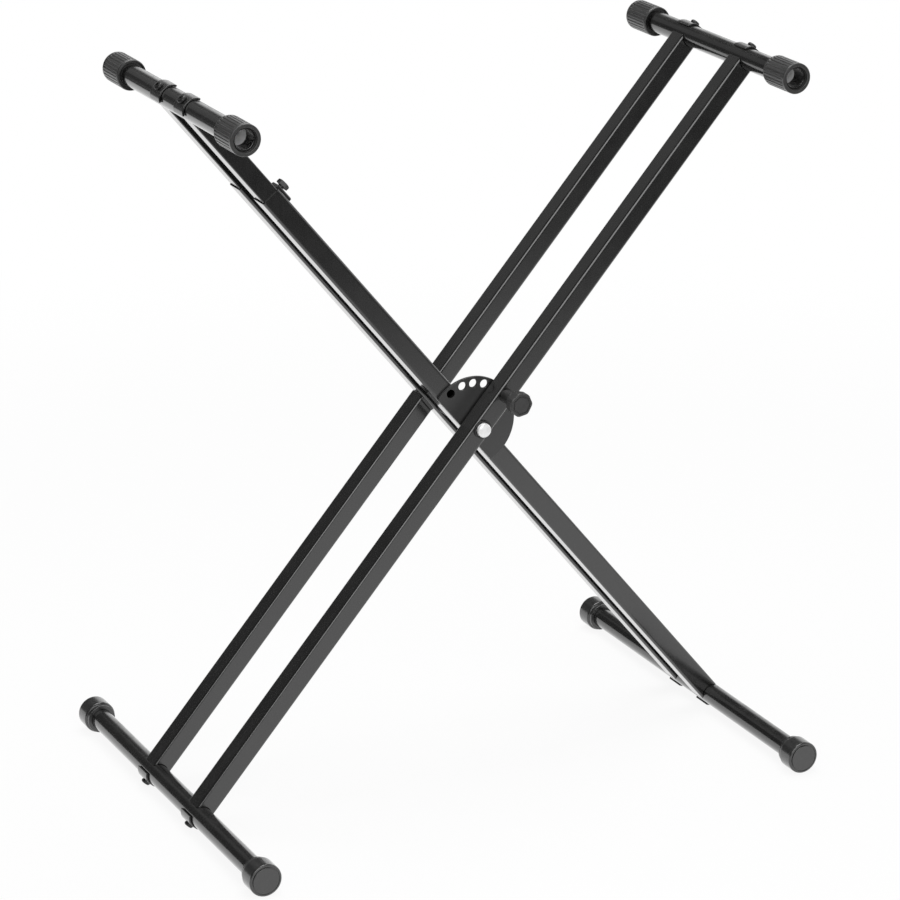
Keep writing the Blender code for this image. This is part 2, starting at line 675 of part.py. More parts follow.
def build_clamp(frame):
    """A welded boss at the near sleeve's mouth and the hexagon bolt that presses on the arm."""
    side = INNER_LEG_WIDTH / 2
    bolt_z = INNER_LEG_MOUTH - CLAMP_BOLT_INSET
    clear = hole(CLAMP_BOLT_RADIUS + HOLE_PLAY, ALONG_X, BOLT_SIDES, z=-CLAMP_BOLT_INSET)
    bm = bmesh.new()
    corners = add_block(bm, BOSS_HEIGHT, BOSS_DEPTH, BOSS_LENGTH)
    outer_rim = [edge for edge in bm.edges if all(corner.co.x > 0 for corner in edge.verts)]
    middle = (side + SEAT_GAP + BOSS_HEIGHT / 2, 0, -BOSS_LENGTH / 2)
    bmesh.ops.translate(bm, verts=corners, vec=middle)
    bmesh.ops.bevel(
        bm, geom=outer_rim, offset=BOSS_CHAMFER, segments=1, profile=0.5, affect="EDGES"
    )
    boss = cut("clamp_boss", to_mesh(bm, "clamp_boss"), clear)
    piece("clamp_boss", boss, "leg_powder_coat", frame, (0, -INNER_LEG_Y, INNER_LEG_MOUTH))
    # The bolt's origin is on its axis at the sleeve's side face
    arm_face = INNER_LEG_WALL + SLIDE_PLAY
    tip = SEAT_GAP - arm_face
    head = CLAMP_BOLT_STANDOUT - CLAMP_HEAD_THICKNESS
    corner = CLAMP_HEAD_ACROSS_FLATS / 2 / math.cos(math.pi / 6)
    blank = turned(
        "clamp_bolt",
        [
            (0.0, tip),
            (CLAMP_BOLT_RADIUS, tip),
            (CLAMP_BOLT_RADIUS, head),
            (corner, head),
            (corner, CLAMP_BOLT_STANDOUT - CLAMP_HEAD_CHAMFER),
            (corner - 2 * CLAMP_HEAD_CHAMFER, CLAMP_BOLT_STANDOUT),
            (0.0, CLAMP_BOLT_STANDOUT),
        ],
        BAR_SIDES,
    )
    hexagon = rod("hexagon", corner, -CUTTER_REACH, CUTTER_REACH, 6)
    bolt = combined("clamp_bolt", blank, [(hexagon, Matrix())], "INTERSECT")
    bolt.transform(ALONG_X)
    axis = frame_axes("clamp_bolt_axis", frame, (side, -INNER_LEG_Y, bolt_z), 0)
    piece("clamp_bolt", bolt, "black_bolt_steel", axis)


def build_lock_pin(frame):
    """The spring pin in its housing; each mesh runs outwards from the near leg's face."""
    stem = PIN_STEM_RADIUS + HOLE_PLAY
    bore = PIN_SHOULDER_RADIUS + HOUSING_BORE_PLAY
    housing = turned(
        "lock_housing",
        [
            (bore, SEAT_GAP),
            (HOUSING_RADIUS, SEAT_GAP),
            (HOUSING_RADIUS, HOUSING_END - HOUSING_CHAMFER),
            (HOUSING_RADIUS - HOUSING_CHAMFER, HOUSING_END),
            (stem, HOUSING_END),
            (stem, HOUSING_FLOOR),
            (bore, HOUSING_FLOOR),
        ],
        PIVOT_SIDES,
        ring=True,
        turn=TOWARDS_NEAR,
    )
    face = (0, -OUTER_LEG_FACE, LOCK_CIRCLE_RADIUS)
    piece("lock_housing", housing, "lock_plate_black", frame, face)
    build_spring(frame, face)
    axis = frame_axes("lock_pin_axis", frame, face, 0)
    pin = turned(
        "lock_pin",
        [
            (0.0, PIN_TIP),
            (PIN_RADIUS - PIN_POINT_CHAMFER, PIN_TIP),
            (PIN_RADIUS, PIN_TIP + PIN_POINT_CHAMFER),
            (PIN_RADIUS, SHOULDER_START),
            (PIN_SHOULDER_RADIUS, SHOULDER_START),
            (PIN_SHOULDER_RADIUS, SHOULDER_END),
            (PIN_STEM_RADIUS, SHOULDER_END),
            (PIN_STEM_RADIUS, KNOB_BACK + PIN_IN_KNOB),
            (0.0, KNOB_BACK + PIN_IN_KNOB),
        ],
        PIN_SIDES,
        turn=TOWARDS_NEAR,
    )
    piece("lock_pin", pin, "pin_steel", axis)
    piece("lock_knob", knob_mesh(stem), "knob_plastic", axis)


def knob_mesh(bore):
    """A lobed knob with a blind bore for the pin's stem."""
    count = KNOB_LOBES * KNOB_POINTS_PER_LOBE
    bm = bmesh.new()
    outline = []
    for step in range(count):
        angle = 2 * math.pi * step / count
        dip = (1 - math.cos(KNOB_LOBES * angle)) / 2
        radius = KNOB_RADIUS - KNOB_LOBE_DEPTH * dip
        outline.append(bm.verts.new((radius * math.cos(angle), radius * math.sin(angle), 0.0)))
    extrude(bm, [bm.faces.new(outline)], KNOB_THICKNESS)
    rims = [edge for edge in bm.edges if edge.verts[0].co.z == edge.verts[1].co.z]
    bmesh.ops.bevel(bm, geom=rims, offset=KNOB_ROUNDING, segments=2, profile=0.5, affect="EDGES")
    grip = to_mesh(bm, "lock_knob")
    depth = PIN_IN_KNOB + SEAT_GAP
    knob = cut("lock_knob", grip, (rod("bore", bore, -depth, depth, PIN_SIDES), Matrix()))
    knob.transform(TOWARDS_NEAR @ at(z=KNOB_BACK))
    return knob


def build_spring(frame, face):
    """An open coil round the pin's stem, between its shoulder and the housing's end wall."""
    count = SPRING_TURNS * SPRING_POINTS_PER_TURN
    points = []
    for step in range(count + 1):
        angle = 2 * math.pi * step / SPRING_POINTS_PER_TURN
        station = SPRING_START + SPRING_WIRE_RADIUS + SPRING_PITCH * step / SPRING_POINTS_PER_TURN
        points.append((SPRING_RADIUS * math.cos(angle), -station, SPRING_RADIUS * math.sin(angle)))
    gaps = []
    for index, point in enumerate(points):
        for other in points[index + SPRING_POINTS_PER_TURN // 2:]:
            gaps.append(math.dist(point, other) - 2 * SPRING_WIRE_RADIUS)
    print("lock spring, least gap between turns in mm:", round(min(gaps) * 1000, 3))
    curve = bpy.data.curves.new("lock_spring", "CURVE")
    curve.dimensions = "3D"
    curve.bevel_depth = SPRING_WIRE_RADIUS
    curve.bevel_resolution = 1
    curve.use_fill_caps = True
    spline = curve.splines.new("POLY")
    spline.points.add(count)
    for target, point in zip(spline.points, points):
        target.co = (*point, 1.0)
    curve.materials.append(finish("spring_steel"))
    spring = bpy.data.objects.new("lock_spring", curve)
    spring.location = face
    spring.parent = frame
    bpy.context.scene.collection.objects.link(spring)


def build_stand():
    clear_scene()
    pivot = (PIVOT_X, 0.0, PIVOT_Z)
    outer = frame_axes("outer_frame", None, pivot, OUTER_TILT)
    inner = frame_axes("inner_frame", None, pivot, -INNER_TILT)
    arms = frame_axes("upper_arms", inner, (0, 0, 0), 0)
    clip = Clip(saddle_mesh(), bolt_mesh())
    collar = BarEnd(collar_mesh(), TOP_BAR_SPAN / 2, COLLAR_LENGTH, COLLAR_LIP, "ribbed_rubber")
    foot = BarEnd(foot_cap_mesh(), FOOT_BAR_SPAN / 2, FOOT_LENGTH, FOOT_END_WALL, "foot_rubber")

    plug = build_outer_legs(outer)
    place = (outer, OUTER_TILT, OUTER_LEG_Y)
    bar_set("outer_top", "outer_collar", *place, OUTER_REACH_UP, collar, plug, clip)
    bar_set("outer_foot", "outer_foot_cap", *place, -OUTER_REACH_DOWN, foot, plug, clip)

    plug = build_inner_legs(inner)
    place = (inner, -INNER_TILT, INNER_LEG_Y)
    bar_set("inner_foot", "inner_foot_cap", *place, -INNER_REACH_DOWN, foot, plug, clip)

    plug = build_upper_arms(arms)
    place = (arms, -INNER_TILT, INNER_LEG_Y)
    bar_set("inner_top", "inner_collar", *place, INNER_REACH_UP, collar, plug, clip)

    build_lock_plate(inner)
    build_pivot(inner)
    build_clamp(inner)
    build_lock_pin(outer)


build_stand()
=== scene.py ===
"""Folding keyboard stand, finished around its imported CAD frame.

Each CAD node gets a finer piece in its own place: softened edges, round bars, coped leg ends,
ribbed rubber, button head bolts and a moulded lock knob, in powder coat, rubber, nylon and
steel. Metres, +Z up, X across the spread of the feet, Y along the bars, near side at -Y.
"""
import json
import math

import bmesh
import bpy
from mathutils import Matrix, Vector

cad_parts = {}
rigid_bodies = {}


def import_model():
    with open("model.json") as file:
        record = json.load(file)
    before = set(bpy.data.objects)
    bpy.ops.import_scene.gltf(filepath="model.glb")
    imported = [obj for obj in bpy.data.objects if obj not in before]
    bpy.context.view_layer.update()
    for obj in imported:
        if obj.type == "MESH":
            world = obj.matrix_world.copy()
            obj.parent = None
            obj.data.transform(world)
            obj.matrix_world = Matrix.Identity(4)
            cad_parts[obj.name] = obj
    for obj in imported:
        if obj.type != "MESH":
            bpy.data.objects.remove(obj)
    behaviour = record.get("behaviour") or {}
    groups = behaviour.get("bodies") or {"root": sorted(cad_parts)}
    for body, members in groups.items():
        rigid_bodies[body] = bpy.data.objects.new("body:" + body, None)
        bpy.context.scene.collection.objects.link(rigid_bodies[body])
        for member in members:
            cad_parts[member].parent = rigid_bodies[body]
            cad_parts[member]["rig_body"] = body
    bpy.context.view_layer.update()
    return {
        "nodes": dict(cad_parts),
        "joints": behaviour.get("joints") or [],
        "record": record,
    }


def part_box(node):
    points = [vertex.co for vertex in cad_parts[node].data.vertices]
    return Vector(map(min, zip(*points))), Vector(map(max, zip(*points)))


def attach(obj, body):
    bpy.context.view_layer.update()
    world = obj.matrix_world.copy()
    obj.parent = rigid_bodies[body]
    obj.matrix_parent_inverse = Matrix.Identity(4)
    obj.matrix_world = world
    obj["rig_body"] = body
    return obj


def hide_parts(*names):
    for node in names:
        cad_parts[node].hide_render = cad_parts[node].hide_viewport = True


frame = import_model()

# Clearances
SEAT_GAP = 0.0003
HOLE_PLAY = 0.0003
SLIDE_PLAY = 0.0003

# Roundings of small edges
FINE_EDGE = 0.0002
SMALL_EDGE = 0.0003
SOFT_EDGE = 0.0004
ROUND_EDGE = 0.0006

# Legs and arms: width across the leg in the plane of the fold
OUTER_LEG_WIDTH = 0.0205
OUTER_LEG_WALL = 0.0015
OUTER_LEG_CORNER = 0.0025
INNER_LEG_WIDTH = 0.0214
INNER_LEG_WALL = 0.0010
INNER_LEG_CORNER = 0.0025
INNER_LEG_MOUTH = 0.337
ARM_WALL = 0.0012
ARM_CORNER = 0.0012
ARM_INSERTED = 0.160
TUBE_RIM = 0.0005

# Bars
BAR_RADIUS = 0.0110
BAR_WALL = 0.0015
BAR_RIM = 0.0004
COPE_RADIUS = BAR_RADIUS + SEAT_GAP
COPE_STANDOFF = 0.003

# Saddles, plugs and bolts
SADDLE_THICKNESS = 0.0020
SADDLE_LENGTH = 0.022
SADDLE_SPAN = math.radians(132)
SADDLE_FLAT_DEPTH = 0.0006
SADDLE_EDGE = 0.0004
SADDLE_CREST = COPE_RADIUS + SADDLE_THICKNESS - SADDLE_FLAT_DEPTH
BOLT_RADIUS = 0.0030
BOLT_GRIP = 0.016
BOLT_HEAD_RADIUS = 0.0048
BOLT_HEAD_RIM = 0.0011
BOLT_HEAD_HEIGHT = 0.0031
BOLT_CROWN_RADIUS = 0.0027
BOLT_SOCKET_RADIUS = 0.0020
BOLT_SOCKET_DEPTH = 0.0016
PLUG_LENGTH = 0.024
PLUG_CORNER = 0.0010
BOLT_TIP_RADIUS = BOLT_RADIUS * 0.8
BOLT_TIP_CHAMFER = BOLT_RADIUS * 0.3
BOLT_HEAD_SEAT_RADIUS = BOLT_HEAD_RADIUS * 0.96

# Ribbed collars
COLLAR_RADIUS = 0.0155
COLLAR_NECK_RADIUS = 0.0150
COLLAR_NECK_LENGTH = 0.0012
COLLAR_NECK_SLOPE = 0.0006
COLLAR_LIP = 0.0030
COLLAR_MOUTH_RADIUS = 0.0118
COLLAR_EDGE = 0.0006
COLLAR_OUTER_EDGE = COLLAR_EDGE * 1.4
COLLAR_RECESS_RADIUS = 0.0141
COLLAR_RECESS_DEPTH = 0.0040
RIB_COUNT = 28
RIB_SIDES = 8
RIB_GROOVE_WIDTH = 0.0012
RIB_GROOVE_DEPTH = 0.0007
RIB_GROOVE_FLARE = 1.5
RIB_MARGIN = 0.0010
RIB_END_FADE = 0.0008
RIB_END_STATIONS = (0.0, 0.0003, 0.0006, 0.0010)

# Foot caps
FOOT_RADIUS = 0.0169
FOOT_END_WALL = 0.0040
FOOT_NECK_RADIUS = 0.0150
FOOT_NECK_LENGTH = 0.004
FOOT_SHOULDER = 0.0015
FOOT_SHOULDER_EDGE = 0.0009
FOOT_ROUNDING = 0.0020
FOOT_FACE_RADIUS = 0.0136
FOOT_FACE_STEP = 0.0005
FOOT_FACE_EDGE = 0.0005
FOOT_GROOVE_WIDTH = 0.0008
FOOT_GROOVE_DEPTH = 0.0012

# Lock plate
PLATE_RADIUS = 0.048
PLATE_THICKNESS = 0.003
PLATE_EDGE = 0.0004
LOCK_CIRCLE_RADIUS = 0.041
LOCK_HOLE_RADIUS = 0.0044
LOCK_ANGLES = [math.radians(angle) for angle in (4.5, 24.5, 41.5, 59.0, 80.4)]

# Pivot
PIVOT_RADIUS = 0.0050
SPACER_RADIUS = 0.0085
SPACER_EDGE = 0.0005
WASHER_RADIUS = 0.0095
WASHER_THICKNESS = 0.0012
CAP_RADIUS = 0.0072
CAP_DEPTH = 0.0030
CAP_CROWN = 0.0022

# Lock pin and knob: stations run outwards from the near outer leg's face
PIN_RADIUS = 0.0039
PIN_STEM_RADIUS = 0.0035
PIN_POINT_CHAMFER = 0.0008
PIN_SHOULDER_RADIUS = 0.0054
PIN_SHOULDER_START = 0.0066
PIN_SHOULDER_LENGTH = 0.0012
PIN_IN_KNOB = 0.0067
HOUSING_RADIUS = 0.0072
HOUSING_FLOOR = 0.0137
HOUSING_END = 0.0150
HOUSING_CHAMFER = 0.0006
HOUSING_BORE_PLAY = 0.0004
KNOB_BACK = 0.0215
KNOB_RADIUS = 0.0130
KNOB_THICKNESS = 0.0110
KNOB_CORNERS = 7
KNOB_CORNER_RADIUS = 0.0022
KNOB_ROUNDING = 0.0014
KNOB_FACE_MARGIN = 0.0026
KNOB_FACE_DEPTH = 0.0007
KNOB_FACE_SLOPE = 0.0003
KNOB_OUTLINE_WIDTH = 0.0009

# Clamp boss and bolt
BOSS_LENGTH = 0.020
BOSS_DEPTH = 0.014
BOSS_HEIGHT = 0.0035
BOSS_CHAMFER = 0.0015
CLAMP_BOLT_INSET = 0.006
CLAMP_BOLT_RADIUS = 0.0030
CLAMP_BOLT_STANDOUT = 0.0100
CLAMP_HEAD_THICKNESS = 0.0045
CLAMP_HEAD_ACROSS_FLATS = 0.0115
CLAMP_HEAD_CHAMFER = 0.0008

# Fineness of round shapes
BAR_SIDES = 72
SMALL_SIDES = 48
HOLE_SIDES = 40
CORNER_STEPS = 6
COPE_CUTS = 13
SADDLE_STEPS = 28
ARC_STEPS = 5
CROWN_STEPS = 10
MERGE_DISTANCE = 0.000001
SHARP_ANGLE = math.radians(38)
CUTTER_REACH = 1.0

ALONG_Y = Matrix.Rotation(-math.pi / 2, 4, "X")
ALONG_X = Matrix.Rotation(math.pi / 2, 4, "Y")
TOWARDS_NEAR = Matrix.Rotation(math.pi / 2, 4, "X")
HALF_TURN = Matrix.Rotation(math.pi, 4, "Y")
NEAR_END = Matrix.Rotation(math.pi, 4, "Z")


def at(x=0.0, y=0.0, z=0.0):
    return Matrix.Translation((x, y, z))


# Places read from the frame
def middle(node):
    low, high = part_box(node)
    return (low + high) / 2


def depth_of(node):
    low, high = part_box(node)
    return high.y - low.y


def reach_to(bar):
    return (middle(bar) - PIVOT).length


def frame_place(top_bar):
    """The axes of one frame at the pivot, with +Z up along its legs."""
    reach = middle(top_bar) - PIVOT
    return Matrix.Translation(PIVOT) @ Matrix.Rotation(math.atan2(reach.x, reach.z), 4, "Y")


JOINTS = {joint["name"]: joint for joint in frame["joints"]}
PIVOT = Vector(JOINTS["fold"]["pos_m"])
OUTER = frame_place("outer_top_bar")
INNER = frame_place("inner_top_bar")
OUTER_REACH_UP = reach_to("outer_top_bar")
OUTER_REACH_DOWN = reach_to("outer_foot_bar")
INNER_REACH_UP = reach_to("inner_top_bar")
INNER_REACH_DOWN = reach_to("inner_foot_bar")
OUTER_LEG_Y = middle("outer_leg_far").y
OUTER_LEG_DEPTH = depth_of("outer_leg_far")
OUTER_LEG_FACE = OUTER_LEG_Y + OUTER_LEG_DEPTH / 2
INNER_LEG_Y = middle("inner_leg_far").y
INNER_LEG_DEPTH = depth_of("inner_leg_far")
INNER_LEG_FACE = INNER_LEG_Y + INNER_LEG_DEPTH / 2
PLATE_FACE = INNER_LEG_FACE + SEAT_GAP + PLATE_THICKNESS
ARM_WIDTH = INNER_LEG_WIDTH - 2 * (INNER_LEG_WALL + SLIDE_PLAY)
ARM_DEPTH = INNER_LEG_DEPTH - 2 * (INNER_LEG_WALL + SLIDE_PLAY)
SLOTS = {row["node"]: row["material_slot"] for row in frame["record"]["subparts"]}


# Shader maths
class Link:
    """A shader socket that takes part in Python expressions."""

    def __init__(self, net, socket):
        self.net = net
        self.socket = socket

    def __add__(self, other):
        return self.net.maths("ADD", self, other)

    def __sub__(self, other):
        return self.net.maths("SUBTRACT", self, other)

    def __rsub__(self, other):
        return self.net.maths("SUBTRACT", other, self)

    def __mul__(self, other):
        return self.net.maths("MULTIPLY", self, other)

    __radd__ = __add__
    __rmul__ = __mul__


class Net:
    """The node tree of a material or of the world; one method makes every node."""

    def __init__(self, tree):
        self.tree = tree
        tree.nodes.clear()

    def node(self, kind, inputs=None, output=0, **settings):
        made = self.tree.nodes.new("ShaderNode" + kind)
        for name, value in settings.items():
            setattr(made, name, value)
        for key, value in (inputs or {}).items():
            if isinstance(value, Link):
                self.tree.links.new(value.socket, made.inputs[key])
            else:
                made.inputs[key].default_value = value
        return Link(self, made.outputs[output]) if made.outputs else made

    def maths(self, operation, first, second, clamp=False):
        return self.node("Math", {0: first, 1: second}, operation=operation, use_clamp=clamp)

    def span(self, operation, inputs):
        """A length that Vector Math measures."""
        return self.node("VectorMath", inputs, output="Value", operation=operation)

    def smooth_step(self, value, low, high):
        """0 below low, 1 above high, with a smooth rise between."""
        return self.node(
            "MapRange",
            {"Value": value, "From Min": low, "From Max": high},
            interpolation_type="SMOOTHSTEP",
        )

    def tint(self, factor, first, second):
        """A colour between two others."""
        inputs = {0: factor, 6: first, 7: second}
        return self.node("Mix", inputs, output=2, data_type="RGBA")

    def noise(self, where, scale, detail=2.0, roughness=0.5):
        inputs = {"Vector": where, "Scale": scale, "Detail": detail, "Roughness": roughness}
        return self.node("TexNoise", inputs)

    def streaks(self, where, scales):
        """A noise drawn out along the axis with the smallest scale."""
        drawn = self.node("Mapping", {"Vector": where, "Scale": scales})
        return self.noise(drawn, 1.0)

    def bump(self, height, distance):
        return self.node("Bump", {"Height": height, "Distance": distance, "Strength": 1.0})

    def principled(self, inputs):
        self.surface(self.node("BsdfPrincipled", inputs))

    def surface(self, shader):
        kind = "OutputWorld" if isinstance(self.tree.id_data, bpy.types.World) else "OutputMaterial"
        self.node(kind, {"Surface": shader})


def grey(level, warmth=0.0):
    return (level * (1 + warmth), level, level * (1 - warmth), 1.0)


def tones(level, dark, light, warmth):
    """The darker and the lighter, warmer grey round a level."""
    return grey(level * dark), grey(level * light, warmth)


def new_material(name):
    material = bpy.data.materials.new(name)
    material.use_nodes = True
    return material, Net(material.node_tree)


# Finishes, one function for each kind of surface. A noise is (scale per metre, detail,
# roughness), a step is (from, to), tones are (dark share, light share, warmth), and a spread
# is how far the gloss strays with its pattern.
COAT_IOR = 1.52
COAT_TONES = (0.75, 1.3, 0.02)
COAT_CLOUDS = (45.0, 3.0)
COAT_RUN_SCALES = (260.0, 260.0, 9.0)
COAT_PEEL = (950.0, 2.0, 0.55)
COAT_PEEL_DEPTH = 0.00002
BAR_PEEL_DEPTH = 0.000012
COAT_RUN_SHARE = 0.35
COAT_CLOUD_SPREAD = 0.16
COAT_RUN_SPREAD = 0.08
DUST_SPECKS = (2600.0, 1.0)
DUST_FACING = (0.45, 1.0)
DUST_STEP = (0.62, 0.95)
DUST_CLOUD_SHARE = 0.5
DUST_TINT = 0.35
DUST_GAIN = 4
DUST_LIFT = 0.01
DUST_WARMTH = 0.03
DUST_DULLNESS = 0.15
DUST_ON_GLOSS = 0.6

# A bar's bore is bare up to the first distance from its middle and coated from the second
BORE_MARK = "bare_bore"
BORE_BARE_TO = 0.1345
BORE_COATED_FROM = 0.1365
# Near-white greys of the bare bore: a painted highlight, paler than bare steel, for the bright spot
# inside a tube's mouth
BORE_HIGHLIGHT_LEVELS = (0.92, 0.98)

# Tones of the rubber's grain: its hollows get painted shade
RUBBER_GRAIN_SHADE_TONES = (0.7, 1.3, 0.01)
RUBBER_CLOUDS = (70.0, 3.0)
RUBBER_GRAIN = (1800.0, 3.0, 0.6)
RUBBER_BLOOM = (240.0, 4.0, 0.65)
RUBBER_BLOOM_STEP = (0.48, 0.75)
RUBBER_BLOOM_TINT = 0.5
RUBBER_BLOOM_GAIN = 1.9
RUBBER_BLOOM_WARMTH = 0.02
RUBBER_BLOOM_DULLNESS = 0.06
RUBBER_CLOUD_SPREAD = 0.14

MOULD_TONES = (0.8, 1.25, 0.01)
MOULD_CLOUDS = (110.0, 2.0)
MOULD_PIT_SCALE = 2200.0
MOULD_GRAIN = (1400.0, 2.0)
MOULD_GRAIN_SHARE = 0.6
MOULD_CLOUD_SPREAD = 0.12
GRAIN_DEPTH = 0.00002

STEEL_CLOUDS = (160.0, 3.0)
STEEL_RING_SCALES = (500.0, 6000.0, 500.0)
STEEL_RING_DEPTH = 0.000008
STEEL_SPREAD = 0.12
STEEL_DARK = 0.82
STEEL_LIGHT = 1.12
STEEL_BRIGHTEST = 0.95
STEEL_WARMTH = 0.01


def powder_coat(name, level, roughness, gloss_roughness, peel=COAT_PEEL_DEPTH):
    """Black powder coat: glossy skin, fine orange peel, a little dust; bare deep in a bore, painted
    near-white there as a highlight.
    """
    material, net = new_material(name)
    where = net.node("TexCoord", output="Object")
    cloud = net.noise(where, *COAT_CLOUDS)
    runs = net.streaks(where, COAT_RUN_SCALES)
    peel_height = net.noise(where, *COAT_PEEL)
    specks = net.noise(where, *DUST_SPECKS)
    normal = net.node("NewGeometry", output="Normal")
    facing_up = net.node("SeparateXYZ", {"Vector": normal}, output="Z")
    lying = net.smooth_step(facing_up, *DUST_FACING)
    dust = lying * net.smooth_step(specks + cloud * DUST_CLOUD_SHARE, *DUST_STEP)
    base = net.tint(cloud, *tones(level, *COAT_TONES))
    dusty = grey(level * DUST_GAIN + DUST_LIFT, DUST_WARMTH)
    coated = net.tint(dust * DUST_TINT, base, dusty)
    along = net.node("SeparateXYZ", {"Vector": where}, output="Y")
    deep = 1 - net.smooth_step(along * along, BORE_BARE_TO ** 2, BORE_COATED_FROM ** 2)
    bare = net.node("Attribute", output="Fac", attribute_name=BORE_MARK) * deep
    # painted highlight: the uncoated bore gets near-white greys so the inside of the tube shows
    # bright
    bare_bore_highlight = net.tint(cloud, *[grey(highlight_level) for highlight_level in BORE_HIGHLIGHT_LEVELS])
    clouded = roughness + (cloud - 0.5) * COAT_CLOUD_SPREAD
    net.principled(
        {
            "Base Color": net.tint(bare, coated, bare_bore_highlight),
            "Roughness": clouded + (runs - 0.5) * COAT_RUN_SPREAD + dust * DUST_DULLNESS,
            "IOR": COAT_IOR,
            "Coat Weight": (1 - dust * DUST_ON_GLOSS) * (1 - bare),
            "Coat Roughness": gloss_roughness,
            "Coat IOR": COAT_IOR,
            "Normal": net.bump(peel_height + runs * COAT_RUN_SHARE, peel),
        }
    )
    return material


def rubber(name, level, roughness, skin, skin_roughness):
    """Moulded rubber with a glossy skin: a faint bloom, and painted shade that darkens it where the
    grain is deep.
    """
    material, net = new_material(name)
    where = net.node("TexCoord", output="Object")
    cloud = net.noise(where, *RUBBER_CLOUDS)
    grain = net.noise(where, *RUBBER_GRAIN)
    bloom = net.smooth_step(net.noise(where, *RUBBER_BLOOM), *RUBBER_BLOOM_STEP)
    # painted shade: where the grain's bump sinks, the rubber is tinted darker
    base = net.tint(grain, *tones(level, *RUBBER_GRAIN_SHADE_TONES))
    bloomed = grey(level * RUBBER_BLOOM_GAIN, RUBBER_BLOOM_WARMTH)
    clouded = roughness + (cloud - 0.5) * RUBBER_CLOUD_SPREAD
    net.principled(
        {
            "Base Color": net.tint(bloom * RUBBER_BLOOM_TINT, base, bloomed),
            "Roughness": clouded + bloom * RUBBER_BLOOM_DULLNESS,
            "Coat Weight": skin,
            "Coat Roughness": skin_roughness,
            "Normal": net.bump(grain, GRAIN_DEPTH),
        }
    )
    return material


def moulded(name, level, roughness):
    """Moulded plastic or nylon: a fine spark-eroded grain with softly varied gloss."""
    material, net = new_material(name)
    where = net.node("TexCoord", output="Object")
    cloud = net.noise(where, *MOULD_CLOUDS)
    pits = net.node("TexVoronoi", {"Vector": where, "Scale": MOULD_PIT_SCALE})
    grain = pits + net.noise(where, *MOULD_GRAIN) * MOULD_GRAIN_SHARE
    net.principled(
        {
            "Base Color": net.tint(cloud, *tones(level, *MOULD_TONES)),
            "Roughness": roughness + (cloud - 0.5) * MOULD_CLOUD_SPREAD,
            "Normal": net.bump(grain, GRAIN_DEPTH),
        }
    )
    return material


def steel(name, level, roughness, metallic):
    """Turned or plated steel: fine rings round the bars' direction and cloudy plating."""
    material, net = new_material(name)
    where = net.node("TexCoord", output="Object")
    cloud = net.noise(where, *STEEL_CLOUDS)
    rings = net.streaks(where, STEEL_RING_SCALES)
    dark = grey(level * STEEL_DARK, STEEL_WARMTH)
    light = grey(min(level * STEEL_LIGHT, STEEL_BRIGHTEST), -STEEL_WARMTH)
    clouded = roughness + (cloud - 0.5) * STEEL_SPREAD
    net.principled(
        {
            "Base Color": net.tint(cloud, dark, light),
            "Roughness": clouded + (rings - 0.5) * STEEL_SPREAD,
            "Metallic": metallic,
            "Normal": net.bump(rings, STEEL_RING_DEPTH),
        }
    )
    return material


FINISHES = {
    "leg_coat": powder_coat(
        "leg_powder_coat", level=0.006, roughness=0.24, gloss_roughness=0.10
    ),
    "bar_coat": powder_coat(
        "bar_powder_coat", level=0.005, roughness=0.22, gloss_roughness=0.08, peel=BAR_PEEL_DEPTH
    ),
    "saddle_coat": powder_coat(
        "saddle_powder_coat", level=0.006, roughness=0.28, gloss_roughness=0.14
    ),
    "lock_black": powder_coat(
        "lock_plate_coat", level=0.003, roughness=0.50, gloss_roughness=0.36
    ),
    "collar_rubber": rubber(
        "ribbed_rubber", level=0.024, roughness=0.42, skin=0.7, skin_roughness=0.28
    ),
    "foot_rubber": rubber(
        "foot_rubber", level=0.014, roughness=0.34, skin=1.0, skin_roughness=0.14
    ),
    "black_bolt": steel("black_oxide_steel", level=0.030, roughness=0.36, metallic=0.5),
    "bright_zinc": steel("bright_zinc", level=0.92, roughness=0.36, metallic=0.35),
    "pin_steel": steel("turned_steel", level=0.55, roughness=0.26, metallic=1.0),
    "spring_steel": steel("spring_wire", level=0.42, roughness=0.30, metallic=1.0),
    "knob_plastic": moulded("knob_plastic", level=0.034, roughness=0.34),
    "plug_nylon": moulded("plug_nylon", level=0.030, roughness=0.52),
    "spacer_nylon": moulded("spacer_nylon", level=0.016, roughness=0.48),
}


# Modelling helpers
def turned(profile, sides, ring=False):
    """Spins points of (radius, height) round Z; a ring's profile closes on itself."""
    bm = bmesh.new()
    points = [bm.verts.new((radius, 0.0, height)) for radius, height in profile]
    edges = [bm.edges.new(pair) for pair in zip(points, points[1:])]
    if ring:
        edges.append(bm.edges.new((points[-1], points[0])))
    bmesh.ops.spin(
        bm, geom=points + edges, axis=(0, 0, 1), angle=2 * math.pi, steps=sides, use_merge=True
    )
    return bm


def rounded(corners, closed=False):
    """A profile from (radius, height, rounding) corners, with an arc at each rounded one."""
    points = []
    count = len(corners)
    for index, (radius, height, rounding) in enumerate(corners):
        here = Vector((radius, height))
        if not rounding or (not closed and index in (0, count - 1)):
            points.append(here)
            continue
        before = Vector(corners[index - 1][:2]) - here
        after = Vector(corners[(index + 1) % count][:2]) - here
        start = here + before.normalized() * rounding
        end = here + after.normalized() * rounding
        for step in range(ARC_STEPS + 1):
            t = step / ARC_STEPS
            points.append(start * (1 - t) ** 2 + here * 2 * t * (1 - t) + end * t ** 2)
    return [tuple(point) for point in points]


def rod(radius, low, high, sides):
    bm = bmesh.new()
    bmesh.ops.create_cone(
        bm, cap_ends=True, segments=sides, radius1=radius, radius2=radius, depth=high - low
    )
    bmesh.ops.translate(bm, verts=bm.verts, vec=(0, 0, (low + high) / 2))
    return bm


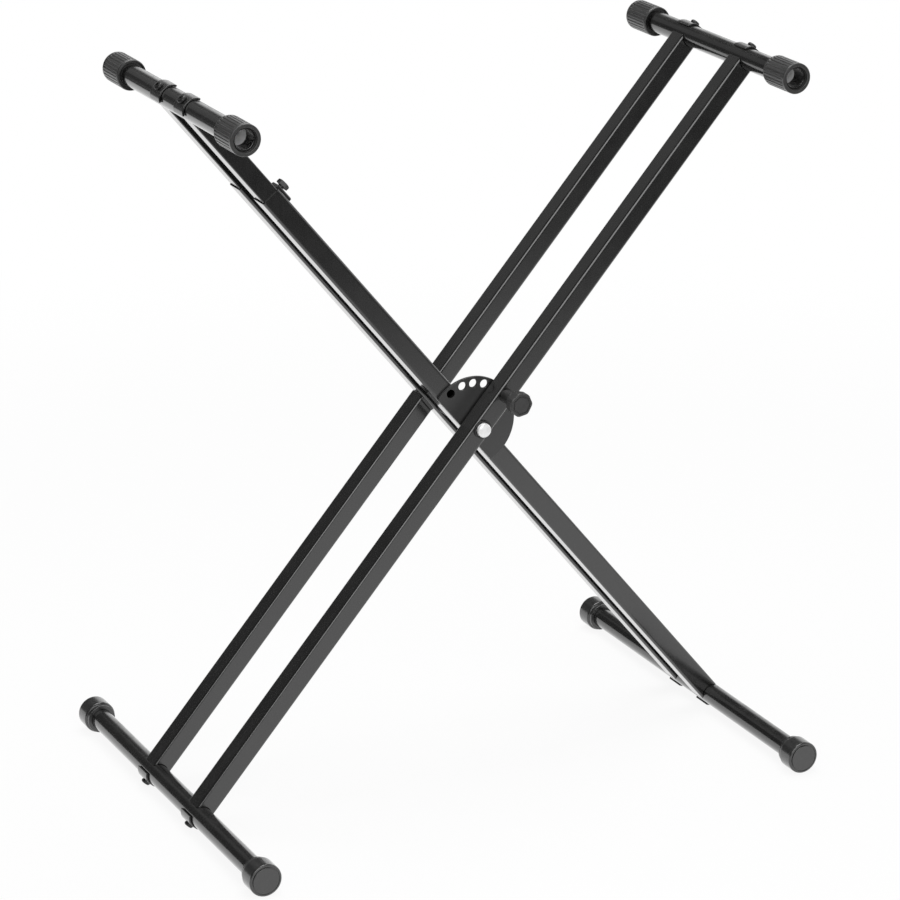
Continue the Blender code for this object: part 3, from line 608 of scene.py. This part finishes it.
def pipe(outer, inner, low, high, sides, edge=0.0):
    corners = [(outer, low, edge), (outer, high, edge), (inner, high, edge), (inner, low, edge)]
    return turned(rounded(corners, closed=True), sides, ring=True)


def block(size_x, size_y, size_z):
    bm = bmesh.new()
    corners = bmesh.ops.create_cube(bm, size=1.0)["verts"]
    bmesh.ops.scale(bm, verts=corners, vec=(size_x, size_y, size_z))
    return bm


def moved(bm, *places):
    """The bmesh after each place is applied, first to last."""
    for place in places:
        bm.transform(place)
    return bm


def as_object(bm):
    """A helper object of the bmesh, for a boolean step."""
    bmesh.ops.remove_doubles(bm, verts=bm.verts, dist=MERGE_DISTANCE)
    bmesh.ops.recalc_face_normals(bm, faces=bm.faces)
    mesh = bpy.data.meshes.new("blank")
    bm.to_mesh(mesh)
    bm.free()
    item = bpy.data.objects.new("blank", mesh)
    bpy.context.scene.collection.objects.link(item)
    return item


def combined(bm, tools, operation="DIFFERENCE"):
    """The bmesh with each tool cut away from it or kept in common with it."""
    body = as_object(bm)
    helpers = [as_object(tool) for tool in tools]
    for helper in helpers:
        step = body.modifiers.new(operation, "BOOLEAN")
        step.operation = operation
        step.solver = "EXACT"
        step.object = helper
    result = bmesh.new()
    result.from_object(body, bpy.context.evaluated_depsgraph_get())
    for item in [body, *helpers]:
        mesh = item.data
        bpy.data.objects.remove(item)
        bpy.data.meshes.remove(mesh)
    bmesh.ops.remove_doubles(result, verts=result.verts, dist=MERGE_DISTANCE)
    return result


def hole(radius, direction, x=0.0, y=0.0, z=0.0, sides=HOLE_SIDES):
    """A cutter that reaches right through, whichever way it points."""
    return moved(rod(radius, -CUTTER_REACH, CUTTER_REACH, sides), direction, at(x, y, z))


def soften(bm, offset, edges=None, segments=2):
    """Rounds the edges given, or every sharp one."""
    if edges is None:
        edges = [e for e in bm.edges if e.is_manifold and e.calc_face_angle() > SHARP_ANGLE]
    bmesh.ops.bevel(
        bm,
        geom=edges,
        offset=offset,
        offset_type="OFFSET",
        segments=segments,
        profile=0.5,
        affect="EDGES",
        clamp_overlap=False,
        material=-1,
    )
    return bm


def mark_bore(mesh, place):
    """Marks the points on a bar's inner wall, which is left uncoated and given a painted near-white
    highlight.
    """
    mark = mesh.attributes.new(BORE_MARK, "FLOAT", "POINT")
    back = place.inverted()
    for vert in mesh.vertices:
        local = back @ vert.co
        inside = math.hypot(local.x, local.z) < BAR_RADIUS - BAR_WALL + MERGE_DISTANCE
        mark.data[vert.index].value = 1.0 if inside else 0.0


def dress(node, bm, place):
    """The finished piece that stands for a CAD node, in its place, on its body, in its finish."""
    bmesh.ops.remove_doubles(bm, verts=bm.verts, dist=MERGE_DISTANCE)
    bm.transform(place)
    bmesh.ops.recalc_face_normals(bm, faces=bm.faces)
    mesh = bpy.data.meshes.new(node + "_finished")
    bm.to_mesh(mesh)
    bm.free()
    if node.endswith("_bar"):
        mark_bore(mesh, place)
    mesh.shade_smooth()
    mesh.set_sharp_from_angle(angle=SHARP_ANGLE)
    mesh.materials.append(FINISHES[SLOTS[node]])
    piece = bpy.data.objects.new(node + "_finished", mesh)
    bpy.context.scene.collection.objects.link(piece)
    shading = piece.modifiers.new("even_shading", "WEIGHTED_NORMAL")
    shading.keep_sharp = True
    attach(piece, frame["nodes"][node]["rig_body"])
    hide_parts(node)


# Legs and arms
def rounded_outline(bm, width, depth, corner):
    """Edges of a level rectangle with rounded corners, its sides along X cut finer for a cope."""
    others = set(bm.edges)
    signs = ((1, 1), (-1, 1), (-1, -1), (1, -1))
    corners = [bm.verts.new((width / 2 * x, depth / 2 * y, 0)) for x, y in signs]
    bm.faces.new(corners)
    bevelled = bmesh.ops.bevel(
        bm,
        geom=corners,
        offset=corner,
        offset_type="OFFSET",
        segments=CORNER_STEPS,
        profile=0.5,
        affect="VERTICES",
        material=-1,
    )
    points = set(bevelled["verts"])
    face = next(face for face in bm.faces if points.issuperset(face.verts))
    across = []
    for edge in face.edges:
        start, end = edge.verts
        if abs(start.co.x - end.co.x) > width / 2:
            across.append(edge)
    bmesh.ops.delete(bm, geom=[face], context="FACES_ONLY")
    bmesh.ops.subdivide_edges(bm, edges=across, cuts=COPE_CUTS)
    return [edge for edge in bm.edges if edge not in others]


def end_height(x, level, cope):
    """Where a tube ends at x: level, or on the bar whose axis is at the cope's height."""
    if cope is None:
        return level
    side = 1 if cope > level else -1
    return cope - side * math.sqrt(COPE_RADIUS ** 2 - x ** 2)


def tube(width, depth, wall, corner, low, high, cope_low=None, cope_high=None):
    """A rectangular tube along Z with rounded corners, coped ends and softened rims."""
    bm = bmesh.new()
    outside = rounded_outline(bm, width, depth, corner)
    inside = rounded_outline(bm, width - 2 * wall, depth - 2 * wall, max(corner - wall, wall / 4))
    foot = bmesh.ops.bridge_loops(bm, edges=outside + inside)["faces"]
    grown = bmesh.ops.extrude_face_region(bm, geom=foot, use_keep_orig=True)["geom"]
    top = [item for item in grown if isinstance(item, bmesh.types.BMFace)]
    for faces, level, cope in ((foot, low, cope_low), (top, high, cope_high)):
        for vert in {vert for face in faces for vert in face.verts}:
            vert.co.z = end_height(vert.co.x, level, cope)
    ends = set(foot) | set(top)
    rims = [edge for edge in bm.edges if sum(face in ends for face in edge.link_faces) == 1]
    return soften(bm, TUBE_RIM, rims)


def pivot_hole():
    return hole(PIVOT_RADIUS + HOLE_PLAY, ALONG_Y)


def build_legs():
    low = COPE_STANDOFF - OUTER_REACH_DOWN
    high = OUTER_REACH_UP - COPE_STANDOFF
    section = (OUTER_LEG_WIDTH, OUTER_LEG_DEPTH, OUTER_LEG_WALL, OUTER_LEG_CORNER)
    for name, side in (("far", 1), ("near", -1)):
        leg = tube(*section, low, high, -OUTER_REACH_DOWN, OUTER_REACH_UP)
        holes = [pivot_hole()]
        if name == "near":
            holes.append(hole(PIN_RADIUS + HOLE_PLAY, ALONG_Y, z=LOCK_CIRCLE_RADIUS))
        dress("outer_leg_" + name, combined(leg, holes), OUTER @ at(y=side * OUTER_LEG_Y))

    low = COPE_STANDOFF - INNER_REACH_DOWN
    section = (INNER_LEG_WIDTH, INNER_LEG_DEPTH, INNER_LEG_WALL, INNER_LEG_CORNER)
    closed = LOCK_ANGLES[0]
    for name, side in (("far", 1), ("near", -1)):
        leg = tube(*section, low, INNER_LEG_MOUTH, -INNER_REACH_DOWN)
        holes = [pivot_hole()]
        if name == "near":
            place = at(z=INNER_LEG_MOUTH - CLAMP_BOLT_INSET)
            clamp = rod(CLAMP_BOLT_RADIUS + HOLE_PLAY, 0, INNER_LEG_WIDTH, HOLE_SIDES)
            holes.append(moved(clamp, ALONG_X, place))
            across = LOCK_CIRCLE_RADIUS * math.sin(closed)
            along = LOCK_CIRCLE_RADIUS * math.cos(closed)
            lock = rod(LOCK_HOLE_RADIUS, -INNER_LEG_DEPTH, 0, HOLE_SIDES)
            holes.append(moved(lock, ALONG_Y, at(x=across, z=along)))
        dress("inner_leg_" + name, combined(leg, holes), INNER @ at(y=side * INNER_LEG_Y))

    for name, side in (("far", 1), ("near", -1)):
        low = INNER_LEG_MOUTH - ARM_INSERTED
        high = INNER_REACH_UP - COPE_STANDOFF
        arm = tube(ARM_WIDTH, ARM_DEPTH, ARM_WALL, ARM_CORNER, low, high, None, INNER_REACH_UP)
        dress("upper_arm_" + name, arm, INNER @ at(y=side * INNER_LEG_Y))


# Bars and what holds them
def bar(half_length, leg_y):
    """A round tube along Y, drilled for the bolt at each leg."""
    blank = pipe(BAR_RADIUS, BAR_RADIUS - BAR_WALL, -half_length, half_length, BAR_SIDES, BAR_RIM)
    moved(blank, ALONG_Y)
    holes = [hole(BOLT_RADIUS + HOLE_PLAY, Matrix(), y=side * leg_y) for side in (1, -1)]
    return combined(blank, holes)


def saddle():
    """A curved clip over the bar, flat on its crest under the bolt's head."""
    outer = COPE_RADIUS + SADDLE_THICKNESS
    angles = [SADDLE_SPAN * (step / SADDLE_STEPS - 0.5) for step in range(SADDLE_STEPS + 1)]
    over = []
    under = []
    for angle in angles:
        across, rise = math.sin(angle), math.cos(angle)
        over.append((outer * across, min(outer * rise, SADDLE_CREST)))
        under.append((COPE_RADIUS * across, COPE_RADIUS * rise))
    bm = bmesh.new()
    outline = [bm.verts.new((x, -SADDLE_LENGTH / 2, z)) for x, z in over + under[::-1]]
    face = bm.faces.new(outline)
    grown = bmesh.ops.extrude_face_region(bm, geom=[face], use_keep_orig=True)["geom"]
    far_end = [item for item in grown if isinstance(item, bmesh.types.BMVert)]
    bmesh.ops.translate(bm, verts=far_end, vec=(0, SADDLE_LENGTH, 0))
    bmesh.ops.recalc_face_normals(bm, faces=bm.faces)
    soften(bm, SADDLE_EDGE, segments=3)
    return combined(bm, [hole(BOLT_RADIUS + HOLE_PLAY, Matrix())])


def button_bolt():
    """A button head bolt with a hexagon socket; its origin is on the bar's axis."""
    seat = SADDLE_CREST + SEAT_GAP
    top = seat + BOLT_HEAD_HEIGHT
    tip = -(BAR_RADIUS + BOLT_GRIP)
    rim = seat + BOLT_HEAD_RIM
    dome = []
    for step in range(ARC_STEPS + 1):
        angle = math.pi / 2 * step / ARC_STEPS
        radius = BOLT_CROWN_RADIUS + (BOLT_HEAD_RADIUS - BOLT_CROWN_RADIUS) * math.cos(angle)
        dome.append((radius, rim + (top - rim) * math.sin(angle)))
    profile = [
        (0.0, tip),
        (BOLT_TIP_RADIUS, tip),
        (BOLT_RADIUS, tip + BOLT_TIP_CHAMFER),
        (BOLT_RADIUS, seat),
        (BOLT_HEAD_SEAT_RADIUS, seat),
        (BOLT_HEAD_RADIUS, seat + SMALL_EDGE),
        *dome,
        (0.0, top),
    ]
    blank = turned(profile, SMALL_SIDES)
    socket = moved(rod(BOLT_SOCKET_RADIUS, -BOLT_SOCKET_DEPTH, BOLT_SOCKET_DEPTH, 6), at(z=top))
    return combined(blank, [socket])


def plug(width, depth):
    """A nylon plug in a leg's end, coped to the bar and drilled for the bolt."""
    length = PLUG_LENGTH
    body = block(width - 2 * SEAT_GAP, depth - 2 * SEAT_GAP, length)
    upright = [edge for edge in body.edges if edge.verts[0].co.z != edge.verts[1].co.z]
    soften(body, PLUG_CORNER, upright, segments=3)
    moved(body, at(z=-COPE_STANDOFF - length / 2))
    cope = hole(COPE_RADIUS, ALONG_Y, sides=BAR_SIDES)
    return combined(body, [cope, hole(BOLT_RADIUS + HOLE_PLAY, Matrix())])


def collar(length):
    """A ribbed sleeve along Y, recessed round the bar; origin at the inner end."""
    lip = length - COLLAR_LIP
    slope_end = COLLAR_NECK_LENGTH + COLLAR_NECK_SLOPE
    low = slope_end + RIB_MARGIN
    corners = [
        (COPE_RADIUS, COLLAR_RECESS_DEPTH, 0.0),
        (COLLAR_RECESS_RADIUS, COLLAR_RECESS_DEPTH, SOFT_EDGE),
        (COLLAR_RECESS_RADIUS, 0.0, FINE_EDGE),
        (COLLAR_NECK_RADIUS, 0.0, SMALL_EDGE),
        (COLLAR_NECK_RADIUS, COLLAR_NECK_LENGTH, FINE_EDGE),
        (COLLAR_RADIUS, slope_end, FINE_EDGE),
        *[(COLLAR_RADIUS, low + station, 0.0) for station in RIB_END_STATIONS],
        *[(COLLAR_RADIUS, lip - station, 0.0) for station in reversed(RIB_END_STATIONS)],
        (COLLAR_RADIUS, length, COLLAR_OUTER_EDGE),
        (COLLAR_MOUTH_RADIUS, length, COLLAR_EDGE),
        (COLLAR_MOUTH_RADIUS, lip, 0.0),
        (COPE_RADIUS, lip, 0.0),
    ]
    bm = turned(rounded(corners, closed=True), RIB_COUNT * RIB_SIDES, ring=True)
    half_width = RIB_GROOVE_WIDTH / 2 * RIB_GROOVE_FLARE
    for vert in bm.verts:
        radius = math.hypot(vert.co.x, vert.co.y)
        if radius < COLLAR_RADIUS - MERGE_DISTANCE or not low < vert.co.z < lip:
            continue
        turn = math.atan2(vert.co.y, vert.co.x) * RIB_COUNT / (2 * math.pi)
        aside = abs(turn - round(turn)) * 2 * math.pi / RIB_COUNT * COLLAR_RADIUS
        valley = max(0.0, 1 - (aside / half_width) ** 2)
        end = min(1.0, (vert.co.z - low) / RIB_END_FADE, (lip - vert.co.z) / RIB_END_FADE)
        shrink = 1 - RIB_GROOVE_DEPTH * valley * end / radius
        vert.co.x *= shrink
        vert.co.y *= shrink
    return moved(bm, ALONG_Y)


def foot_cap(length):
    """A closed cap along Y with a grooved end face; origin at the open inner end."""
    shoulder = FOOT_RADIUS - FOOT_SHOULDER
    floor = length - FOOT_END_WALL
    groove = FOOT_FACE_RADIUS + FOOT_GROOVE_WIDTH
    corners = [
        (0.0, floor, 0.0),
        (COPE_RADIUS, floor, 0.0),
        (COPE_RADIUS, 0.0, 0.0),
        (FOOT_NECK_RADIUS, 0.0, ROUND_EDGE),
        (FOOT_NECK_RADIUS, FOOT_NECK_LENGTH, SOFT_EDGE),
        (shoulder, FOOT_NECK_LENGTH, SOFT_EDGE),
        (FOOT_RADIUS, FOOT_NECK_LENGTH + FOOT_SHOULDER, FOOT_SHOULDER_EDGE),
        (FOOT_RADIUS, length - FOOT_FACE_STEP, FOOT_ROUNDING),
        (groove, length - FOOT_FACE_STEP, FINE_EDGE),
        (groove, length - FOOT_GROOVE_DEPTH, 0.0),
        (FOOT_FACE_RADIUS, length - FOOT_GROOVE_DEPTH, 0.0),
        (FOOT_FACE_RADIUS, length, FOOT_FACE_EDGE),
        (0.0, length, 0.0),
    ]
    return moved(turned(rounded(corners), BAR_SIDES), ALONG_Y)


def build_bar_set(label, ends, end_shape, place, z, leg_y, plug_size):
    """A bar with its end fittings, and the saddle, bolt and plug at each leg."""
    low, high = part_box(label + "_bar")
    dress(label + "_bar", bar((high.y - low.y) / 2, leg_y), place @ at(z=z))
    upright = Matrix() if z > 0 else HALF_TURN
    for name, side in (("far", 1), ("near", -1)):
        fitting = "%s_%s" % (ends, name)
        low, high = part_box(fitting)
        length = high.y - low.y
        inner_end = low.y if side > 0 else -high.y
        turn = Matrix() if side > 0 else NEAR_END
        dress(fitting, end_shape(length), place @ at(y=side * inner_end, z=z) @ turn)
        seat = place @ at(y=side * leg_y, z=z) @ upright
        dress("%s_saddle_%s" % (label, name), saddle(), seat)
        dress("%s_bolt_%s" % (label, name), button_bolt(), seat)
        dress("%s_plug_%s" % (label, name), plug(*plug_size), seat)


def inside_of(width, depth, wall):
    return width - 2 * wall, depth - 2 * wall


def build_bars():
    outer_inside = inside_of(OUTER_LEG_WIDTH, OUTER_LEG_DEPTH, OUTER_LEG_WALL)
    inner_inside = inside_of(INNER_LEG_WIDTH, INNER_LEG_DEPTH, INNER_LEG_WALL)
    arm_inside = inside_of(ARM_WIDTH, ARM_DEPTH, ARM_WALL)
    outer = (OUTER_LEG_Y, outer_inside)
    inner = (INNER_LEG_Y, inner_inside)
    arms = (INNER_LEG_Y, arm_inside)
    build_bar_set("outer_top", "outer_collar", collar, OUTER, OUTER_REACH_UP, *outer)
    build_bar_set("outer_foot", "outer_foot_cap", foot_cap, OUTER, -OUTER_REACH_DOWN, *outer)
    build_bar_set("inner_foot", "inner_foot_cap", foot_cap, INNER, -INNER_REACH_DOWN, *inner)
    build_bar_set("inner_top", "inner_collar", collar, INNER, INNER_REACH_UP, *arms)


# Pivot and lock
def build_lock_plate():
    """A disc with a circle of lock holes, cut straight along the leg's lower edge."""
    disc = moved(rod(PLATE_RADIUS, 0, PLATE_THICKNESS, 2 * BAR_SIDES), ALONG_Y)
    beyond_leg = moved(block(1, 1, 1), at(x=-(INNER_LEG_WIDTH + 1) / 2))
    holes = [
        hole(
            LOCK_HOLE_RADIUS,
            ALONG_Y,
            x=LOCK_CIRCLE_RADIUS * math.sin(angle),
            z=LOCK_CIRCLE_RADIUS * math.cos(angle),
        )
        for angle in LOCK_ANGLES
    ]
    plate = combined(disc, [beyond_leg, pivot_hole(), *holes])
    dress("lock_plate", soften(plate, PLATE_EDGE), INNER @ at(y=-PLATE_FACE))


def build_pivot():
    """The shaft, its spacers and washers, and the bright push caps."""
    bore = PIVOT_RADIUS + HOLE_PLAY
    washer_seat = OUTER_LEG_FACE + SEAT_GAP
    cap_seat = washer_seat + WASHER_THICKNESS + SEAT_GAP
    shaft_half = cap_seat + CAP_DEPTH - SEAT_GAP
    shaft = soften(rod(PIVOT_RADIUS, -shaft_half, shaft_half, SMALL_SIDES), SOFT_EDGE)
    dress("pivot_shaft", moved(shaft, ALONG_Y), INNER)
    inner_face = INNER_LEG_Y - INNER_LEG_DEPTH / 2 - SEAT_GAP
    spacer = pipe(SPACER_RADIUS, bore, -inner_face, inner_face, SMALL_SIDES, SPACER_EDGE)
    dress("pivot_spacer_mid", moved(spacer, ALONG_Y), INNER)
    ring = pipe(SPACER_RADIUS, bore, 0, PLATE_THICKNESS, SMALL_SIDES, SOFT_EDGE)
    dress("pivot_spacer_far", moved(ring, ALONG_Y), INNER @ at(y=INNER_LEG_FACE + SEAT_GAP))
    rim = CAP_DEPTH + SEAT_GAP
    crown = []
    for step in range(CROWN_STEPS):
        angle = math.pi / 2 * step / CROWN_STEPS
        crown.append((CAP_RADIUS * math.cos(angle), rim + CAP_CROWN * math.sin(angle)))
    cap_profile = [
        (0.0, CAP_DEPTH),
        (bore, CAP_DEPTH),
        (bore, 0.0),
        (CAP_RADIUS - SMALL_EDGE, 0.0),
        (CAP_RADIUS, SMALL_EDGE),
        *crown,
        (0.0, rim + CAP_CROWN),
    ]
    for name, side, turn in (("far", 1, Matrix()), ("near", -1, NEAR_END)):
        washer = pipe(WASHER_RADIUS, bore, 0, WASHER_THICKNESS, SMALL_SIDES, SMALL_EDGE)
        seat = INNER @ at(y=side * washer_seat) @ turn @ ALONG_Y
        dress("pivot_washer_" + name, washer, seat)
        seat = INNER @ at(y=side * cap_seat) @ turn @ ALONG_Y
        dress("pivot_cap_" + name, turned(cap_profile, SMALL_SIDES), seat)


def knob():
    """A seven cornered grip with a raised face in an outlined rim and a blind bore."""
    grip = rod(KNOB_RADIUS, 0, KNOB_THICKNESS, KNOB_CORNERS)
    upright = [edge for edge in grip.edges if edge.verts[0].co.z != edge.verts[1].co.z]
    bmesh.ops.bevel(
        grip,
        geom=upright,
        offset=KNOB_CORNER_RADIUS,
        offset_type="OFFSET",
        segments=6,
        profile=0.5,
        affect="EDGES",
        material=-1,
    )
    rims = [edge for edge in grip.edges if edge.verts[0].co.z == edge.verts[1].co.z]
    soften(grip, KNOB_ROUNDING, rims, segments=4)
    front = max(grip.faces, key=lambda face: face.calc_area() * (face.normal.z > 0.9))
    bmesh.ops.inset_individual(grip, faces=[front], thickness=KNOB_FACE_MARGIN - KNOB_ROUNDING)
    for thickness, depth in (
        (KNOB_FACE_SLOPE, -KNOB_FACE_DEPTH),
        (KNOB_OUTLINE_WIDTH, 0.0),
        (KNOB_FACE_SLOPE, KNOB_FACE_DEPTH),
    ):
        bmesh.ops.inset_individual(grip, faces=[front], thickness=thickness, depth=depth)
    bore = PIN_STEM_RADIUS + HOLE_PLAY
    depth = PIN_IN_KNOB + SEAT_GAP
    return combined(grip, [rod(bore, -depth, depth, HOLE_SIDES)])


def build_lock():
    """The spring pin, its housing and its knob on the near outer leg."""
    face = OUTER @ at(y=-OUTER_LEG_FACE, z=LOCK_CIRCLE_RADIUS) @ TOWARDS_NEAR
    stem = PIN_STEM_RADIUS + HOLE_PLAY
    bore = PIN_SHOULDER_RADIUS + HOUSING_BORE_PLAY
    housing = [
        (bore, SEAT_GAP, 0.0),
        (HOUSING_RADIUS, SEAT_GAP, FINE_EDGE),
        (HOUSING_RADIUS, HOUSING_END, HOUSING_CHAMFER),
        (stem, HOUSING_END, FINE_EDGE),
        (stem, HOUSING_FLOOR, 0.0),
        (bore, HOUSING_FLOOR, 0.0),
    ]
    dress("lock_housing", turned(rounded(housing, closed=True), SMALL_SIDES, ring=True), face)
    shoulder_end = PIN_SHOULDER_START + PIN_SHOULDER_LENGTH
    pin_end = KNOB_BACK + PIN_IN_KNOB
    pin = [
        (0.0, -OUTER_LEG_DEPTH, 0.0),
        (PIN_RADIUS, -OUTER_LEG_DEPTH, PIN_POINT_CHAMFER),
        (PIN_RADIUS, PIN_SHOULDER_START, 0.0),
        (PIN_SHOULDER_RADIUS, PIN_SHOULDER_START, FINE_EDGE),
        (PIN_SHOULDER_RADIUS, shoulder_end, FINE_EDGE),
        (PIN_STEM_RADIUS, shoulder_end, 0.0),
        (PIN_STEM_RADIUS, pin_end, SMALL_EDGE),
        (0.0, pin_end, 0.0),
    ]
    dress("lock_pin", turned(rounded(pin), SMALL_SIDES), face)
    dress("lock_knob", knob(), face @ at(z=KNOB_BACK))
    spring = frame["nodes"]["lock_spring"]
    spring.data.materials.clear()
    spring.data.materials.append(FINISHES[SLOTS["lock_spring"]])


def build_clamp():
    """The welded boss at the near sleeve's mouth and the hexagon bolt that presses on the arm."""
    side = INNER_LEG_WIDTH / 2
    tip = SEAT_GAP - INNER_LEG_WALL - SLIDE_PLAY
    head = CLAMP_BOLT_STANDOUT - CLAMP_HEAD_THICKNESS
    corner = CLAMP_HEAD_ACROSS_FLATS / 2 / math.cos(math.pi / 6)
    profile = [
        (0.0, tip),
        (CLAMP_BOLT_RADIUS, tip),
        (CLAMP_BOLT_RADIUS, head),
        (corner, head),
        (corner, CLAMP_BOLT_STANDOUT - CLAMP_HEAD_CHAMFER),
        (corner - 2 * CLAMP_HEAD_CHAMFER, CLAMP_BOLT_STANDOUT),
        (0.0, CLAMP_BOLT_STANDOUT),
    ]
    boss = block(BOSS_HEIGHT, BOSS_DEPTH, BOSS_LENGTH)
    outer_rim = [edge for edge in boss.edges if all(vert.co.x > 0 for vert in edge.verts)]
    soften(boss, BOSS_CHAMFER, outer_rim, segments=4)
    moved(boss, at(x=side + SEAT_GAP + BOSS_HEIGHT / 2, z=-BOSS_LENGTH / 2))
    clear = hole(CLAMP_BOLT_RADIUS + HOLE_PLAY, ALONG_X, z=-CLAMP_BOLT_INSET)
    near_leg = INNER @ at(y=-INNER_LEG_Y, z=INNER_LEG_MOUTH)
    dress("clamp_boss", combined(boss, [clear]), near_leg)
    hexagon = rod(corner, -CUTTER_REACH, CUTTER_REACH, 6)
    bolt = combined(turned(profile, SMALL_SIDES), [hexagon], "INTERSECT")
    dress("clamp_bolt", bolt, near_leg @ at(x=side, z=-CLAMP_BOLT_INSET) @ ALONG_X)


# Studio
FLOOR_RADIUS = 20.0
FLOOR_SIDES = 96
# Painted pool of light in what gloss sees of the floor: its centre, where it is still white, where
# it has faded, and its far level
PAINTED_POOL_CENTRE = (0.5, 1.8, 0.0)
PAINTED_POOL_BRIGHT_TO = 2.45
PAINTED_POOL_FADED_AT = 3.65
PAINTED_POOL_FAR_LEVEL = 0.12
SHADOW_SHARE = 0.10
SHADOW_NEAR = 0.8
SHADOW_FAR = 1.8
AMBIENT_LEVEL = 0.30
DARK_SKY_LEVEL = 0.085
LOW_SKY_LEAN = 0.6
LOW_SKY_STEP = (0.05, 0.30)
PAPER_LEVEL = 0.86
HUB = (0.0, 0.0, 0.4)
LAMPS = (
    # name, location, size across, size down, watts
    ("front_soft_lamp", (-0.9, -2.7, 1.9), 2.6, 2.6, 60),
    ("overhead_soft_lamp", (0.2, 0.3, 2.6), 1.8, 1.8, 46),
    ("rear_fill_panel", (-0.9, 1.9, 1.75), 1.7, 0.9, 0.6),
)
CAMERA_LENS = 144.65
CAMERA_SENSOR = 36.0
CAMERA_LOCATION = (-1.54893, -3.08157, 1.58700)
CAMERA_ANGLES = (70.0, 0.27, -26.86)


def build_floor():
    """A pale floor that keeps the stand's shadow; in gloss it shows a painted pool of light, white
    near the stand.
    """
    bm = bmesh.new()
    bmesh.ops.create_circle(bm, cap_ends=True, segments=FLOOR_SIDES, radius=FLOOR_RADIUS)
    mesh = bpy.data.meshes.new("studio_floor")
    bm.to_mesh(mesh)
    bm.free()
    material, net = new_material("pale_floor")
    where = net.node("TexCoord", output="Object")
    distance = net.span("DISTANCE", {0: where, 1: PAINTED_POOL_CENTRE})
    # painted pool of light: gloss sees the floor glowing white near the stand and dimmer far away,
    # set by distance, not by the lamps
    painted_pool_of_light = 1 - net.smooth_step(distance, PAINTED_POOL_BRIGHT_TO, PAINTED_POOL_FADED_AT) * (1 - PAINTED_POOL_FAR_LEVEL)
    camera = net.node("LightPath", output="Is Camera Ray")
    glossy = net.node("LightPath", output="Is Glossy Ray")
    through = net.node("LightPath", output="Is Transmission Ray")
    away = net.span("LENGTH", {0: where})
    shadow = (1 - net.smooth_step(away, SHADOW_NEAR, SHADOW_FAR)) * SHADOW_SHARE
    in_gloss = net.maths("ADD", glossy, through, clamp=True)
    seen = net.maths("ADD", camera * (1 - shadow), in_gloss, clamp=True)
    paper = net.node("BsdfDiffuse", {"Color": grey(PAPER_LEVEL)})
    light = net.tint(in_gloss * (1 - painted_pool_of_light), grey(1.0), grey(0.0))
    white = net.node("Emission", {"Color": light, "Strength": 1.0})
    net.surface(net.node("MixShader", {0: seen, 1: paper, 2: white}))
    mesh.materials.append(material)
    floor = bpy.data.objects.new("studio_floor", mesh)
    bpy.context.scene.collection.objects.link(floor)


def build_world():
    """A plain grey studio; gloss sees it dark overhead and white low down and to the right."""
    world = bpy.data.worlds.new("studio")
    world.use_nodes = True
    net = Net(world.node_tree)
    where = net.node("TexCoord", output="Generated")
    across = net.node("SeparateXYZ", {"Vector": where}, output="X")
    rise = net.node("SeparateXYZ", {"Vector": where}, output="Z")
    low_sky = 1 - net.smooth_step(rise - across * LOW_SKY_LEAN, *LOW_SKY_STEP)
    camera = net.node("LightPath", output="Is Camera Ray")
    glossy = net.node("LightPath", output="Is Glossy Ray")
    through = net.node("LightPath", output="Is Transmission Ray")
    seen = net.maths("ADD", camera, glossy + through, clamp=True)
    studio = net.tint(low_sky, grey(DARK_SKY_LEVEL), grey(1.0))
    colour = net.tint(seen, grey(AMBIENT_LEVEL), studio)
    net.surface(net.node("Background", {"Color": colour, "Strength": 1.0}))
    bpy.context.scene.world = world


def add_lamp(name, location, size_x, size_y, watts):
    """A soft panel that faces the hub of the stand."""
    data = bpy.data.lights.new(name, "AREA")
    data.shape = "RECTANGLE"
    data.size = size_x
    data.size_y = size_y
    data.energy = watts
    lamp = bpy.data.objects.new(name, data)
    lamp.location = location
    lamp.rotation_euler = (Vector(HUB) - Vector(location)).to_track_quat("-Z", "Y").to_euler()
    bpy.context.scene.collection.objects.link(lamp)


def build_studio():
    build_floor()
    build_world()
    for row in LAMPS:
        add_lamp(*row)
    camera_data = bpy.data.cameras.new("view_camera")
    camera_data.lens = CAMERA_LENS
    camera_data.sensor_width = CAMERA_SENSOR
    camera = bpy.data.objects.new("view_camera", camera_data)
    camera.location = CAMERA_LOCATION
    camera.rotation_euler = [math.radians(angle) for angle in CAMERA_ANGLES]
    bpy.context.scene.collection.objects.link(camera)
    bpy.context.scene.camera = camera
    bpy.context.scene.view_settings.view_transform = "Standard"


build_legs()
build_bars()
build_lock_plate()
build_pivot()
build_lock()
build_clamp()
build_studio()
